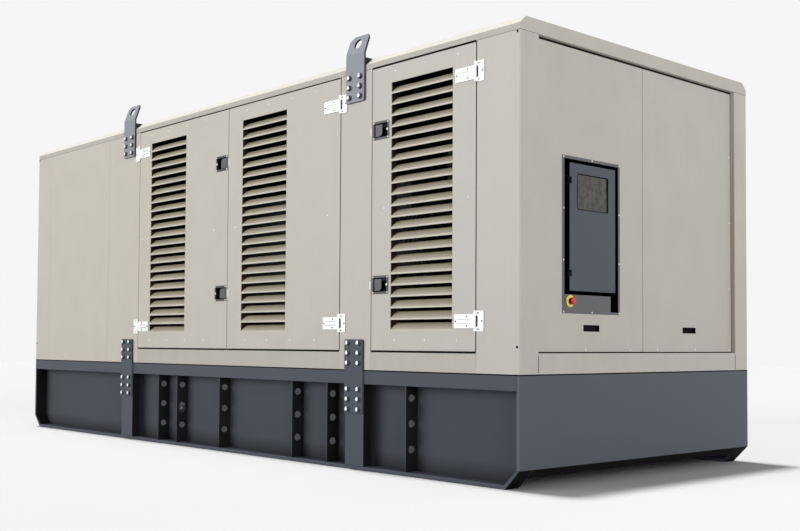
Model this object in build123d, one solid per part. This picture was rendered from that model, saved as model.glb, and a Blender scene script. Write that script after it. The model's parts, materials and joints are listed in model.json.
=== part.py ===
"""Canopied diesel generator: skid base, louvred canopy with doors, control end and the set inside.

All lengths are in millimetres.  +X points to the control end, -Y to the photographed long side
and +Z up; the origin lies on the floor under the middle of the canopy.
"""
import os
from math import cos, radians, sin

from build123d import *

os.makedirs("parts", exist_ok=True)

# Whole machine
length = 5150.0
width = 2000.0
base_height = 530.0
wall_height = 1614.0
wall_depth = 50.0
fold_radius = 6.0
barrel_sides = 10
drum_sides = 24

# Roof
fascia_height = 33.0
bevel_width = 42.0
bevel_rise = 38.0

# Bays along a long side, counted from the control end; the panel before the last corner takes the rest
control_corner_width = 276.0
short_bay_width = 772.0
rear_post_width = 257.0
long_bay_width = 1107.0
front_post_width = 438.0
radiator_corner_width = 232.0

# Base
rail_height = 72.0
recess_depth = 88.0
web_thickness = 8.0
flange_thickness = 20.0
end_plate_thickness = 20.0
toe_run = 90.0
toe_rise = 92.0
lip_drop = 42.0
deck_thickness = 8.0
cross_member_count = 5
cross_member_width = 80.0
cross_member_height = 180.0
rib_thickness = 8.0
rib_hole_radius = 21.0
rib_hole_sides = 8
rib_hole_pitch_share = 0.3
rib_hole_middle_share = 0.56
rib_set_back = 4.0
rib_distances = (775.0, 1417.0, 1738.0, 2494.0, 2997.0, 3233.0)

# Canopy openings
sill_height = 104.0
door_gap = 6.0
end_post_width = 133.0
end_recess = 25.0
end_panel_thickness = 25.0

# Sound linings
lining_thickness = 8.0
lining_inset = 25.0

# Doors
door_depth = 45.0
door_skin = 5.0
louvre_offset = 152.0
louvre_width = 450.0
louvre_sill = 100.0
louvre_head = 94.0
louvre_margin = 55.0
blade_count = 22
blade_depth = 35.0
blade_rise = 34.0
blade_lip = 8.0
blade_thickness = 2.0
blade_steps = 3
plain_blade_steps = 1

# Strap hinges
hinge_inset = 146.0
pin_radius = 4.0
pin_clearance = 0.3
knuckle_radius = 7.0
knuckle_gap = 1.0
hinge_leaf_width = 45.0
hinge_leaf_height = 100.0
strap_length = 134.0
strap_height = 68.0
strap_thickness = 4.0
strap_rib_spacing = 20.0
strap_rib_width = 6.0
strap_rib_height = 1.5
strap_rib_margin = 20.0
neck_height = 50.0
leaf_clearance = 2.0

# Paddle latches
latch_width = 128.0
latch_height = 97.0
latch_corner = 5.0
latch_edge = 6.0
lower_latch_rise = 345.0
upper_latch_drop = 334.0
latch_flange = 10.0
latch_plate = 3.0
cup_depth = 28.0
cup_wall = 2.0
paddle_width = 52.0
paddle_thickness = 4.0
paddle_corner = 14.0
paddle_clearance = 6.0
paddle_barrel_radius = 5.0
paddle_pin_radius = 2.5

# Lifting gear
lug_width = 152.0
lug_thickness = 12.0
lug_foot = 160.0
lug_foot_corner = 8.0
lug_bend = 96.0
lug_reach = 117.0
lug_lean = 28.0
lug_front_corner = (40.0, 32.0)
lug_rear_corner = (13.0, 20.0)
lug_hole_radius = 26.0
lug_hole_drop = 50.0
front_lug_distance = 134.0
gusset_reach = 58.0
gusset_height = 4.0
tie_plate_rise = 168.0
tie_plate_drop = 228.0
tie_plate_thickness = 10.0

# Control panel
frame_width = 460.0
frame_height = 771.0
frame_foot = 188.0
frame_thickness = 4.0
recess_width = 432.0
recess_height = 664.0
recess_top_margin = 15.0
box_depth = 160.0
box_wall = 2.0
box_border = 6.0
notch_width = 64.0
notch_height = 80.0
control_door_width = 365.0
control_door_height = 627.0
control_door_thickness = 20.0
control_door_proud = 5.0
control_hinge_radius = 5.0
control_hinge_length = 32.0
control_hinge_inset = 86.0
control_hinge_tab = 14.0
control_hinge_tab_thickness = 2.0
control_pin_radius = 2.0
window_width = 250.0
window_height = 179.0
window_top = 48.0
window_corner = 12.0
window_thickness = 5.0

# Emergency stop
stop_disc_radius = 30.0
stop_disc_thickness = 2.0
stop_collar_radius = 15.0
stop_collar_height = 7.0
stop_stem_radius = 9.0
stop_gap = 9.0
stop_head_radius = 18.0
stop_head_height = 9.0
stop_inset = 58.0
stop_rise = 60.0
stop_stem_clearance = 0.3

# Flush pulls on the end panels
pull_width = 128.0
pull_height = 32.0
pull_depth = 18.0
pull_wall = 2.0
pull_rise = 117.0

# Generating set
rail_spacing = 760.0
set_rail_width = 90.0
set_rail_height = 170.0
set_rail_overhang = 50.0
shaft_height = 700.0
foot_width = 120.0
foot_height = 240.0
cylinder_count = 6
block_length = 1250.0
block_width = 560.0
block_height = 620.0
head_height = 150.0
head_width = 300.0
head_gap = 24.0
rocker_height = 46.0
rocker_width = 210.0
sump_height = 120.0
sump_top_width = 420.0
sump_floor_width = 300.0
manifold_size = 110.0
manifold_drop = 70.0
damper_radius = 140.0
damper_length = 60.0
bell_length = 160.0
bell_radius = 380.0
alternator_radius = 350.0
alternator_length = 900.0
shield_radius = 250.0
shield_length = 90.0
terminal_length = 420.0
terminal_width = 460.0
terminal_height = 120.0
radiator_thickness = 150.0
radiator_width = 1400.0
radiator_height = 1100.0
plenum_length = 1125.0
shroud_length = 120.0
shroud_margin = 90.0
shroud_taper = 8.0
fan_ring_radius = 430.0
fan_ring_length = 60.0
fan_gap = 70.0
silencer_radius = 170.0
silencer_length = 1300.0
silencer_inset = 575.0
silencer_drop = 60.0
silencer_strap_width = 120.0

# Derived places
half_length = length / 2
half_width = width / 2
canopy_floor = base_height
fascia_bottom = canopy_floor + wall_height
fascia_top = fascia_bottom + fascia_height
roof_top = fascia_top + bevel_rise
sill_top = canopy_floor + sill_height
door_bottom = sill_top + door_gap
door_top = fascia_bottom - door_gap
web_face = half_width - recess_depth
web_top = base_height - rail_height

x_corner = half_length - control_corner_width
x_rear_post_front = x_corner - short_bay_width
x_rear_post_back = x_rear_post_front - rear_post_width
x_pair_middle = x_rear_post_back - long_bay_width
x_front_post_front = x_pair_middle - long_bay_width
x_front_post_back = x_front_post_front - front_post_width
x_radiator_corner = -half_length + radiator_corner_width

lug_places = (x_front_post_front - front_lug_distance, x_rear_post_back + rear_post_width / 2)


def between(first, second):
    """Two places in rising order."""
    return min(first, second), max(first, second)


def around(middle, size):
    """The two ends of a size about its middle."""
    return middle - size / 2, middle + size / 2


def slab(x_from, x_to, y_from, y_to, z_from, z_to):
    """Box between two opposite corners."""
    size = (x_to - x_from, y_to - y_from, z_to - z_from)
    return Pos(x_from, y_from, z_from) * Box(*size, align=(Align.MIN, Align.MIN, Align.MIN))


def prism_along_y(points, y_from, y_to):
    """Outline of X and Z points, extruded from one Y to another."""
    face = make_face(Polyline(*points, close=True))
    return Pos(0, y_from, 0) * extrude(Plane.XZ * face, y_to - y_from, dir=(0, 1, 0))


def prism_along_x(points, x_from, x_to):
    """Outline of Y and Z points, extruded from one X to another."""
    face = make_face(Polyline(*points, close=True))
    return Pos(x_from, 0, 0) * extrude(Plane.YZ * face, x_to - x_from, dir=(1, 0, 0))


def barrel(x, y, z_from, z_to, radius):
    """Upright many-sided barrel or pin between two heights."""
    outline = RegularPolygon(radius, barrel_sides)
    return Pos(x, y, z_from) * extrude(outline, z_to - z_from, dir=(0, 0, 1))


def bore(x, y, z_from, z_to, radius):
    """Room of a pin that turns: a many-sided hole round a circle of the radius."""
    outline = RegularPolygon(radius, barrel_sides, major_radius=False)
    return Pos(x, y, z_from) * extrude(outline, z_to - z_from, dir=(0, 0, 1))


def drum_along_x(x_from, x_to, y, z, radius):
    """Lying many-sided drum along the length of the machine."""
    outline = Plane.YZ * RegularPolygon(radius, drum_sides)
    return Pos(x_from, y, z) * extrude(outline, x_to - x_from, dir=(1, 0, 0))


def drum_along_y(x, y_from, y_to, z, radius):
    """Lying many-sided drum across the machine."""
    outline = Plane.XZ * RegularPolygon(radius, drum_sides)
    return Pos(x, y_from, z) * extrude(outline, y_to - y_from, dir=(0, 1, 0))


def hole_along_x(x_from, x_to, y, z, radius):
    """Room of a stem that slides: a many-sided hole round a circle of the radius."""
    outline = Plane.YZ * RegularPolygon(radius, drum_sides, major_radius=False)
    return Pos(x_from, y, z) * extrude(outline, x_to - x_from, dir=(1, 0, 0))


def both_sides(pieces):
    """The pieces of the photographed side with their mirror images on the far side."""
    return pieces + [mirror(piece, about=Plane.XZ) for piece in pieces]


def write(name, *pieces):
    """Write the solids of one node."""
    solids = [solid for piece in pieces for solid in piece.solids()]
    shape = solids[0] if len(solids) == 1 else Compound(children=solids)
    export_step(shape, f"parts/{name}.step")


# Base frame

def toe_outline(inset):
    """End of the floor line and of the shoulder of the side outline, moved in by a thickness."""
    slope = (toe_run**2 + toe_rise**2) ** 0.5
    run_shift = inset * (slope - toe_run) / toe_rise
    return half_length - toe_run - run_shift, half_length - inset


def skid_flange():
    """Bottom flange of a side beam: the flat sole and the plates folded up along the sloped toes."""
    outer_floor, outer_wall = toe_outline(0)
    inner_floor, inner_wall = toe_outline(flange_thickness)
    beam = (-half_width, -web_face + web_thickness)
    sole_points = [
        (-outer_floor, 0),
        (outer_floor, 0),
        (inner_floor, flange_thickness),
        (-inner_floor, flange_thickness),
    ]
    toe_points = [
        (outer_floor, 0),
        (outer_wall, toe_rise),
        (inner_wall, toe_rise),
        (inner_floor, flange_thickness),
    ]
    toe = prism_along_y(toe_points, *beam)
    return [prism_along_y(sole_points, *beam), toe, mirror(toe, about=Plane.YZ)]


def web():
    """Recessed web of a side beam."""
    floor_end, wall = toe_outline(flange_thickness)
    points = [
        (-wall, toe_rise),
        (-floor_end, flange_thickness),
        (floor_end, flange_thickness),
        (wall, toe_rise),
        (wall, web_top),
        (-wall, web_top),
    ]
    return prism_along_y(points, -web_face, -web_face + web_thickness)


def rib(x):
    """Upright plate in the recess with three lightening holes."""
    recess_height_at_web = web_top - flange_thickness
    plate = slab(*around(x, rib_thickness), -half_width + rib_set_back, -web_face, flange_thickness, web_top)
    y_hole = -half_width + recess_depth / 2
    z_middle = flange_thickness + rib_hole_middle_share * recess_height_at_web
    hole = Plane.YZ * RegularPolygon(rib_hole_radius, rib_hole_sides)
    for step in (-1, 0, 1):
        z_hole = z_middle + step * rib_hole_pitch_share * recess_height_at_web
        plate -= Pos(x - rib_thickness, y_hole, z_hole) * extrude(hole, 2 * rib_thickness, dir=(1, 0, 0))
    return plate


def end_plate():
    """Base end plate at the control end with its sloped lip between the side beams."""
    upright = slab(half_length - end_plate_thickness, half_length, -half_width, half_width,
                   toe_rise, base_height)
    lip_run = lip_drop * toe_run / toe_rise
    points = [
        (half_length, toe_rise),
        (half_length - lip_run, toe_rise - lip_drop),
        (half_length - lip_run - end_plate_thickness, toe_rise - lip_drop),
        (half_length - end_plate_thickness, toe_rise),
    ]
    beam_inside = web_face - web_thickness
    return upright + prism_along_y(points, -beam_inside, beam_inside)


rail_end = half_length - end_plate_thickness
top_rail = slab(-rail_end, rail_end, -half_width, -web_face + web_thickness, web_top, base_height)
write("base_top_rails", *both_sides([top_rail]))
write("base_webs", *both_sides([web()]))
write("base_skid_flanges", *both_sides(skid_flange()))

lifting_posts = [
    slab(*around(x, lug_width), -half_width, -web_face, flange_thickness, web_top)
    for x in lug_places
]
write("base_lifting_posts", *both_sides(lifting_posts))
write("base_ribs", *both_sides([rib(half_length - distance) for distance in rib_distances]))

control_end_plate = end_plate()
write("base_end_plates", control_end_plate, mirror(control_end_plate, about=Plane.YZ))

deck_side = web_face - web_thickness
deck_bottom = base_height - deck_thickness
write("base_deck", slab(-rail_end, rail_end, -deck_side, deck_side, deck_bottom, base_height))

cross_spacing = length / (cross_member_count + 1)
cross_members = []
for place in range(cross_member_count):
    x = -half_length + (place + 1) * cross_spacing
    cross_members.append(slab(*around(x, cross_member_width), -deck_side, deck_side,
                              deck_bottom - cross_member_height, deck_bottom))
write("base_cross_members", *cross_members)


# Canopy frame

def corner_post(x_face, x_inner, direction):
    """Folded corner post on the photographed side; direction points out of its end."""
    side_leg = slab(*between(x_face, x_inner), -half_width, -half_width + wall_depth,
                    canopy_floor, fascia_bottom)
    x_back = x_face - direction * wall_depth
    end_leg = slab(*between(x_face, x_back), -half_width, -half_width + end_post_width,
                   canopy_floor, fascia_bottom)
    body = side_leg + end_leg
    uprights = body.edges().filter_by(Axis.Z)
    outer_edge = max(uprights, key=lambda edge: direction * edge.center().X - edge.center().Y)
    return fillet(outer_edge, fold_radius)


corner_posts = [
    corner_post(half_length, x_corner, 1),
    corner_post(-half_length, x_radiator_corner, -1),
]
write("corner_posts", *both_sides(corner_posts))


def wall_piece(x_from, x_to, z_from, z_to):
    """Flat wall panel on the photographed side."""
    return slab(x_from, x_to, -half_width, -half_width + wall_depth, z_from, z_to)


middle_posts = [
    wall_piece(x_front_post_back, x_front_post_front, canopy_floor, fascia_bottom),
    wall_piece(x_rear_post_back, x_rear_post_front, canopy_floor, fascia_bottom),
]
write("middle_posts", *both_sides(middle_posts))
write("radiator_side_panels",
      *both_sides([wall_piece(x_radiator_corner, x_front_post_back, canopy_floor, fascia_bottom)]))

side_sills = [
    wall_piece(x_front_post_front, x_rear_post_back, canopy_floor, sill_top),
    wall_piece(x_rear_post_front, x_corner, canopy_floor, sill_top),
]
end_side = half_width - end_post_width
control_sill = slab(half_length - wall_depth, half_length, -end_side, end_side, canopy_floor, sill_top)
write("sills", *both_sides(side_sills), control_sill, mirror(control_sill, about=Plane.YZ))

roof_outline = [
    (-half_width, fascia_bottom),
    (half_width, fascia_bottom),
    (half_width, fascia_top),
    (half_width - bevel_width, roof_top),
    (-half_width + bevel_width, roof_top),
    (-half_width, fascia_top),
]
write("roof", prism_along_x(roof_outline, -half_length, half_length))

lining_side = half_width - wall_depth
lining_top = fascia_bottom - lining_thickness
roof_lining = slab(-half_length + wall_depth, half_length - wall_depth, -lining_side, lining_side,
                   lining_top, fascia_bottom)
wall_linings = [
    slab(x_from, x_to, -lining_side, -lining_side + lining_thickness, canopy_floor, lining_top)
    for x_from, x_to in ((x_radiator_corner, x_front_post_front), (x_rear_post_back, x_rear_post_front))
]
write("canopy_linings", roof_lining, *both_sides(wall_linings))


# Louvred doors

louvre_bottom = door_bottom + louvre_sill
louvre_top = door_top - louvre_head
pitch = (louvre_top - louvre_bottom) / blade_count


def blade_outline(steps):
    """Section of a weather blade: an upright lip that curves inward to its top edge."""
    outer = [(0, 0)]
    inner = [(blade_thickness, 0)]
    for step in range(steps + 1):
        turn = radians(90) * step / steps
        inward = 1 - cos(turn)
        up = sin(turn)
        outer.append((blade_depth * inward, blade_lip + blade_rise * up))
        inner.append((blade_thickness + (blade_depth - blade_thickness) * inward,
                      blade_lip + (blade_rise - blade_thickness) * up))
    return outer + inner[::-1]


def blades(x_from, x_to, steps):
    """One bank of weather blades in a wall of the photographed side."""
    bank = []
    for place in range(blade_count):
        z_blade = louvre_bottom + place * pitch
        points = [(-half_width + inward, z_blade + up) for inward, up in blade_outline(steps)]
        bank.append(prism_along_x(points, x_from, x_to))
    return bank


latch_z = (door_bottom + lower_latch_rise, door_top - upper_latch_drop)
cup_width = latch_width - 2 * latch_flange
cup_height = latch_height - 2 * latch_flange
paddle_height = cup_height - 2 * (cup_wall + paddle_clearance)
paddle_y = -half_width + paddle_barrel_radius


def latch_centre(edge, away):
    """Middle of a latch beside a door edge; away points from the edge into the door."""
    return edge + away * (latch_edge + latch_width / 2)


def latch_pocket(x, z):
    """Room that the cup of a latch takes in a door leaf."""
    return slab(*around(x, cup_width), -half_width, -half_width + cup_depth, *around(z, cup_height))


def latch(x, z):
    """Latch plate with cut corners and its finger cup, without the paddle."""
    outline = chamfer(Rectangle(latch_width, latch_height).vertices(), latch_corner)
    plate = Pos(x, -half_width, z) * extrude(Plane.XZ * outline, latch_plate, dir=(0, -1, 0))
    room = slab(*around(x, cup_width - 2 * cup_wall), -half_width - latch_plate,
                -half_width + cup_depth - cup_wall, *around(z, cup_height - 2 * cup_wall))
    return plate + latch_pocket(x, z) - room


def paddle_axis(x, away):
    """X of the upright axis of a paddle, at the side of its cup near the door edge."""
    return x - away * (cup_width / 2 - cup_wall - paddle_clearance / 2 - paddle_barrel_radius)


def paddle_pin(x, z, away):
    """Pin on which a paddle turns, held at both ends by the cup."""
    return barrel(paddle_axis(x, away), paddle_y, *around(z, cup_height - 2 * cup_wall), paddle_pin_radius)


def paddle_plate(x, z, away):
    """Pull plate of a paddle with one cut corner."""
    x_axis = paddle_axis(x, away)
    x_free = x_axis + away * paddle_width
    z_whole = z + away * paddle_height / 2
    z_cut = z - away * paddle_height / 2
    points = [
        (x_axis, z_whole),
        (x_free, z_whole),
        (x_free, z_cut + away * paddle_corner),
        (x_free - away * paddle_corner, z_cut),
        (x_axis, z_cut),
    ]
    return prism_along_y(points, -half_width, -half_width + paddle_thickness)


def paddle(x, z, away):
    """Pull paddle with the barrel that turns on the pin."""
    x_axis = paddle_axis(x, away)
    ends = around(z, paddle_height)
    body = barrel(x_axis, paddle_y, *ends, paddle_barrel_radius) + paddle_plate(x, z, away)
    return body - bore(x_axis, paddle_y, *ends, paddle_pin_radius + pin_clearance)


hinge_z = (door_bottom + hinge_inset, door_top - hinge_inset)
hinge_y = -half_width - knuckle_radius
hinge_face = -half_width - strap_thickness


def strap_plate(x_axis, z, away):
    """Strap of a hinge with two pressed ribs."""
    x_near = x_axis + away * (knuckle_radius + leaf_clearance)
    x_far = x_near + away * strap_length
    strap = slab(*between(x_near, x_far), hinge_face, -half_width, *around(z, strap_height))
    rib_ends = between(x_near + away * strap_rib_margin, x_far - away * strap_rib_margin)
    for side in (-1, 1):
        z_rib = z + side * strap_rib_spacing / 2
        strap += slab(*rib_ends, hinge_face - strap_rib_height, hinge_face, *around(z_rib, strap_rib_width))
    return strap


def leaf_plate(x_axis, z, away):
    """Plate of a hinge on the post."""
    x_near = x_axis - away * (knuckle_radius + leaf_clearance)
    x_far = x_near - away * hinge_leaf_width
    return slab(*between(x_near, x_far), hinge_face, -half_width, *around(z, hinge_leaf_height))


def hinge_frame_leaf(x_axis, z, away):
    """Hinge leaf on the post with its two knuckles and the pin; away points into the door."""
    z_low, z_high = around(z, hinge_leaf_height)
    neck_low, neck_high = around(z, neck_height + 2 * knuckle_gap)
    x_near = x_axis - away * (knuckle_radius + leaf_clearance)
    leaf = leaf_plate(x_axis, z, away)
    for low, high in ((z_low, neck_low), (neck_high, z_high)):
        leaf += slab(*between(x_near, x_axis), hinge_y, -half_width - strap_thickness / 2, low, high)
        leaf += barrel(x_axis, hinge_y, low, high, knuckle_radius)
    return leaf + barrel(x_axis, hinge_y, neck_low, neck_high, pin_radius)


def hinge_strap(x_axis, z, away):
    """Strap leaf on the door with the middle knuckle."""
    neck = around(z, neck_height)
    x_near = x_axis + away * (knuckle_radius + leaf_clearance)
    strap = strap_plate(x_axis, z, away)
    strap += slab(*between(x_near, x_axis), hinge_y, -half_width - strap_thickness / 2, *neck)
    strap += barrel(x_axis, hinge_y, *neck, knuckle_radius)
    return strap - bore(x_axis, hinge_y, *neck, pin_radius + pin_clearance)


def plain_hinge(x_axis, z, away):
    """Closed hinge of a fixed door: both leaves and one barrel in one piece."""
    x_near = x_axis - away * (knuckle_radius + leaf_clearance)
    x_far = x_axis + away * (knuckle_radius + leaf_clearance)
    body = strap_plate(x_axis, z, away) + leaf_plate(x_axis, z, away)
    body += slab(*between(x_near, x_far), hinge_face, -half_width - strap_thickness / 2,
                 *around(z, strap_height))
    return body + barrel(x_axis, hinge_y, *around(z, hinge_leaf_height), knuckle_radius)


class Door:
    """Place and fittings of one louvred door."""

    def __init__(self, x_from, x_to, x_hinge, away, has_latch):
        self.x_from = x_from
        self.x_to = x_to
        self.x_hinge = x_hinge
        self.away = away
        self.has_latch = has_latch
        self.x_louvre = x_from + louvre_offset
        free_edge = x_to if away > 0 else x_from
        self.x_latch = latch_centre(free_edge, -away)

    def air_way(self):
        """Room behind the louvre window, wider than the window itself."""
        return slab(self.x_louvre - louvre_margin, self.x_louvre + louvre_width + louvre_margin,
                    -half_width + door_skin, -half_width + door_depth,
                    louvre_bottom - louvre_margin, louvre_top + louvre_margin)

    def leaf(self):
        depth = door_depth - lining_thickness
        body = slab(self.x_from, self.x_to, -half_width, -half_width + depth, door_bottom, door_top)
        body -= slab(self.x_louvre, self.x_louvre + louvre_width, -half_width, -half_width + depth,
                     louvre_bottom, louvre_top)
        body -= self.air_way()
        for z in latch_z if self.has_latch else ():
            body -= latch_pocket(self.x_latch, z)
        return body

    def closed_lining(self):
        """Pad that also covers the louvre window."""
        return slab(self.x_from + lining_inset, self.x_to - lining_inset,
                    -half_width + door_depth - lining_thickness, -half_width + door_depth,
                    door_bottom + lining_inset, door_top - lining_inset)

    def lining(self):
        """Pad with room for the air of the louvres."""
        return self.closed_lining() - self.air_way()

    def louvres(self, steps):
        return blades(self.x_louvre, self.x_louvre + louvre_width, steps)

    def straps(self):
        return [hinge_strap(self.x_hinge, z, self.away) for z in hinge_z]

    def frame_leaves(self):
        return [hinge_frame_leaf(self.x_hinge, z, self.away) for z in hinge_z]

    def plain_hinges(self):
        return [plain_hinge(self.x_hinge, z, self.away) for z in hinge_z]

    def latches(self):
        return [latch(self.x_latch, z) + paddle_pin(self.x_latch, z, -self.away) for z in latch_z]

    def paddles(self):
        return [paddle(self.x_latch, z, -self.away) for z in latch_z]

    def plain_latches(self):
        """Closed latches of a fixed door: each plate with its cup filled up to the paddle."""
        blocks = []
        for z in latch_z:
            fill = slab(*around(self.x_latch, cup_width), -half_width + paddle_thickness,
                        -half_width + cup_depth, *around(z, cup_height))
            blocks.append(latch(self.x_latch, z) + fill + paddle_plate(self.x_latch, z, -self.away))
        return blocks


half_gap = door_gap / 2
doors = {
    "door_1": Door(x_front_post_front + door_gap, x_pair_middle - half_gap,
                   x_front_post_front + half_gap, 1, True),
    "door_2": Door(x_pair_middle + half_gap, x_rear_post_back - door_gap,
                   x_rear_post_back - half_gap, -1, False),
    "door_3": Door(x_rear_post_front + door_gap, x_corner - door_gap,
                   x_corner - half_gap, -1, True),
}
frame_leaves = []
far_leaves = []
far_linings = []
far_louvres = []
far_hinges = []
far_latches = []
for name, door in doors.items():
    leaf = door.leaf()
    write(f"{name}_leaf", leaf)
    write(f"{name}_lining", door.lining())
    write(f"{name}_louvres", *door.louvres(blade_steps))
    write(f"{name}_hinges", *door.straps())
    frame_leaves += door.frame_leaves()
    far_leaves.append(mirror(leaf, about=Plane.XZ))
    far_linings.append(mirror(door.closed_lining(), about=Plane.XZ))
    far_louvres += [mirror(blade, about=Plane.XZ) for blade in door.louvres(plain_blade_steps)]
    far_hinges += [mirror(hinge, about=Plane.XZ) for hinge in door.plain_hinges()]
    if door.has_latch:
        write(f"{name}_latches", *door.latches())
        lower, upper = door.paddles()
        write(f"{name}_lower_paddle", lower)
        write(f"{name}_upper_paddle", upper)
        far_latches += [mirror(block, about=Plane.XZ) for block in door.plain_latches()]
write("frame_hinge_leaves", *frame_leaves)
write("far_doors", *far_leaves)
write("far_linings", *far_linings)
write("far_louvres", *far_louvres)
write("far_hinges", *far_hinges)
write("far_latches", *far_latches)


# Lifting gear

def lug(x):
    """Lifting plate on a post, bent inward above the roof, with a shackle hole."""
    foot = fascia_bottom - lug_foot
    bend = fascia_bottom + lug_bend
    x_front, x_rear = around(x, lug_width)
    upright = prism_along_y([
        (x_front, bend),
        (x_front, foot + lug_foot_corner),
        (x_front + lug_foot_corner, foot),
        (x_rear - lug_foot_corner, foot),
        (x_rear, foot + lug_foot_corner),
        (x_rear, bend),
    ], -half_width - lug_thickness, -half_width)
    front_run, front_rise = lug_front_corner
    rear_run, rear_rise = lug_rear_corner
    outline = [
        (-lug_width / 2, 0),
        (lug_width / 2, 0),
        (lug_width / 2, lug_reach - rear_rise),
        (lug_width / 2 - rear_run, lug_reach),
        (-lug_width / 2 + front_run, lug_reach),
        (-lug_width / 2, lug_reach - front_rise),
    ]
    hole = Pos(0, lug_reach - lug_hole_drop) * Circle(lug_hole_radius)
    face = make_face(Polyline(*outline, close=True)) - hole
    plate = extrude(Plane.XZ * face, lug_thickness, dir=(0, -1, 0))
    leaning = Pos(x, -half_width, bend) * Rot(-lug_lean, 0, 0) * plate
    lean = radians(lug_lean)
    wedge = prism_along_x([
        (-half_width, bend),
        (-half_width - lug_thickness, bend),
        (-half_width - lug_thickness * cos(lean), bend + lug_thickness * sin(lean)),
    ], x_front, x_rear)
    return upright + wedge + leaning


def gusset(x):
    """Block between a lug and the roof bevel."""
    points = [
        (-half_width, fascia_top),
        (-half_width + bevel_width, roof_top),
        (-half_width + gusset_reach, roof_top),
        (-half_width + gusset_reach, roof_top + gusset_height),
        (-half_width, roof_top + gusset_height),
    ]
    return prism_along_x(points, *around(x, lug_width))


def tie_plate(x):
    """Plate that ties a canopy post to the base."""
    return slab(*around(x, lug_width), -half_width - tie_plate_thickness, -half_width,
                canopy_floor - tie_plate_drop, canopy_floor + tie_plate_rise)


write("lifting_lugs", *both_sides([lug(x) for x in lug_places]))
write("lug_gussets", *both_sides([gusset(x) for x in lug_places]))
write("tie_plates", *both_sides([tie_plate(x) for x in lug_places]))


# End panels

panel_face = half_length - end_recess
panel_back = panel_face - end_panel_thickness
panel_bottom = sill_top + door_gap
panel_top = fascia_bottom - door_gap
panel_middle = -end_side / 2


def end_panel(y_from, y_to):
    """Bolted panel of the control end."""
    return slab(panel_back, panel_face, y_from, y_to, panel_bottom, panel_top)


def pull_pocket(y):
    """Room that a flush pull takes in an end panel."""
    return slab(panel_face - pull_depth, panel_face, *around(y, pull_width),
                *around(panel_bottom + pull_rise, pull_height))


def pull(y):
    """Flush finger pull in an end panel."""
    room = slab(panel_face - pull_depth + pull_wall, panel_face, *around(y, pull_width - 2 * pull_wall),
                *around(panel_bottom + pull_rise, pull_height - 2 * pull_wall))
    return pull_pocket(y) - room


frame_bottom = panel_bottom + frame_foot
frame_top = frame_bottom + frame_height
recess_top = frame_top - recess_top_margin
recess_bottom = recess_top - recess_height
recess_left, recess_right = around(panel_middle, recess_width)
box_sides = around(panel_middle, frame_width - 2 * box_border)
box_bottom = frame_bottom + box_border
box_top = frame_top - box_border

left_panel = end_panel(-end_side, -half_gap) - pull_pocket(panel_middle)
left_panel -= slab(panel_back, panel_face, *box_sides, box_bottom, box_top)
right_panel = end_panel(half_gap, end_side) - pull_pocket(-panel_middle)
write("control_end_panels", left_panel, right_panel)
write("flush_pulls", pull(panel_middle), pull(-panel_middle))

radiator_panels = []
radiator_blades = []
for side in (-1, 1):
    louvre_ends = around(side * end_side / 2, louvre_width)
    panel_ends = between(side * half_gap, side * end_side)
    panel = slab(-panel_face, -panel_back, *panel_ends, panel_bottom, panel_top)
    panel -= slab(-panel_face, -panel_back, *louvre_ends, louvre_bottom, louvre_top)
    radiator_panels.append(panel)
    for place in range(blade_count):
        z_blade = louvre_bottom + place * pitch
        points = [(-panel_face + inward, z_blade + up) for inward, up in blade_outline(plain_blade_steps)]
        radiator_blades.append(prism_along_y(points, *louvre_ends))
write("radiator_end_panels", *radiator_panels)
write("radiator_end_louvres", *radiator_blades)


# Control panel

frame_face = panel_face + frame_thickness
frame_plate = slab(panel_face, frame_face, *around(panel_middle, frame_width), frame_bottom, frame_top)
frame_plate -= slab(panel_face, frame_face, recess_left, recess_right, recess_bottom, recess_top)
frame_plate -= slab(panel_face, frame_face, recess_right - notch_width, recess_right,
                    recess_bottom - notch_height, recess_bottom)
stop_y = panel_middle - frame_width / 2 + stop_inset
stop_z = frame_bottom + stop_rise
stop_bore_radius = stop_stem_radius + stop_stem_clearance
frame_plate -= hole_along_x(panel_face, frame_face, stop_y, stop_z, stop_bore_radius)
write("control_frame", frame_plate)

room_sides = around(panel_middle, frame_width - 2 * (box_border + box_wall))
control_box = slab(panel_face - box_depth, panel_face, *box_sides, box_bottom, box_top)
control_box -= slab(panel_face - box_depth + box_wall, panel_face, *room_sides,
                    box_bottom + box_wall, box_top - box_wall)
write("control_box", control_box)

door_face = frame_face + control_door_proud
door_back = door_face - control_door_thickness
control_door_left, control_door_right = around(panel_middle, control_door_width)
control_door_bottom, control_door_top = around((recess_top + recess_bottom) / 2, control_door_height)
window_z = control_door_top - window_top - window_height / 2


def window_block(x_from, x_to):
    """Rounded block of the window."""
    outline = RectangleRounded(window_width, window_height, window_corner)
    return Pos(x_from, panel_middle, window_z) * extrude(Plane.YZ * outline, x_to - x_from, dir=(1, 0, 0))


control_axis_y = control_door_left - control_hinge_radius
control_axis_x = door_face - control_hinge_radius
control_hinge_z = (control_door_bottom + control_hinge_inset, control_door_top - control_hinge_inset)

control_door = slab(door_back, door_face, control_door_left, control_door_right,
                    control_door_bottom, control_door_top)
control_door -= window_block(door_back, door_face)
write("control_door", control_door)
write("control_window", window_block(door_face - 2 * window_thickness, door_face - window_thickness))

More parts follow.
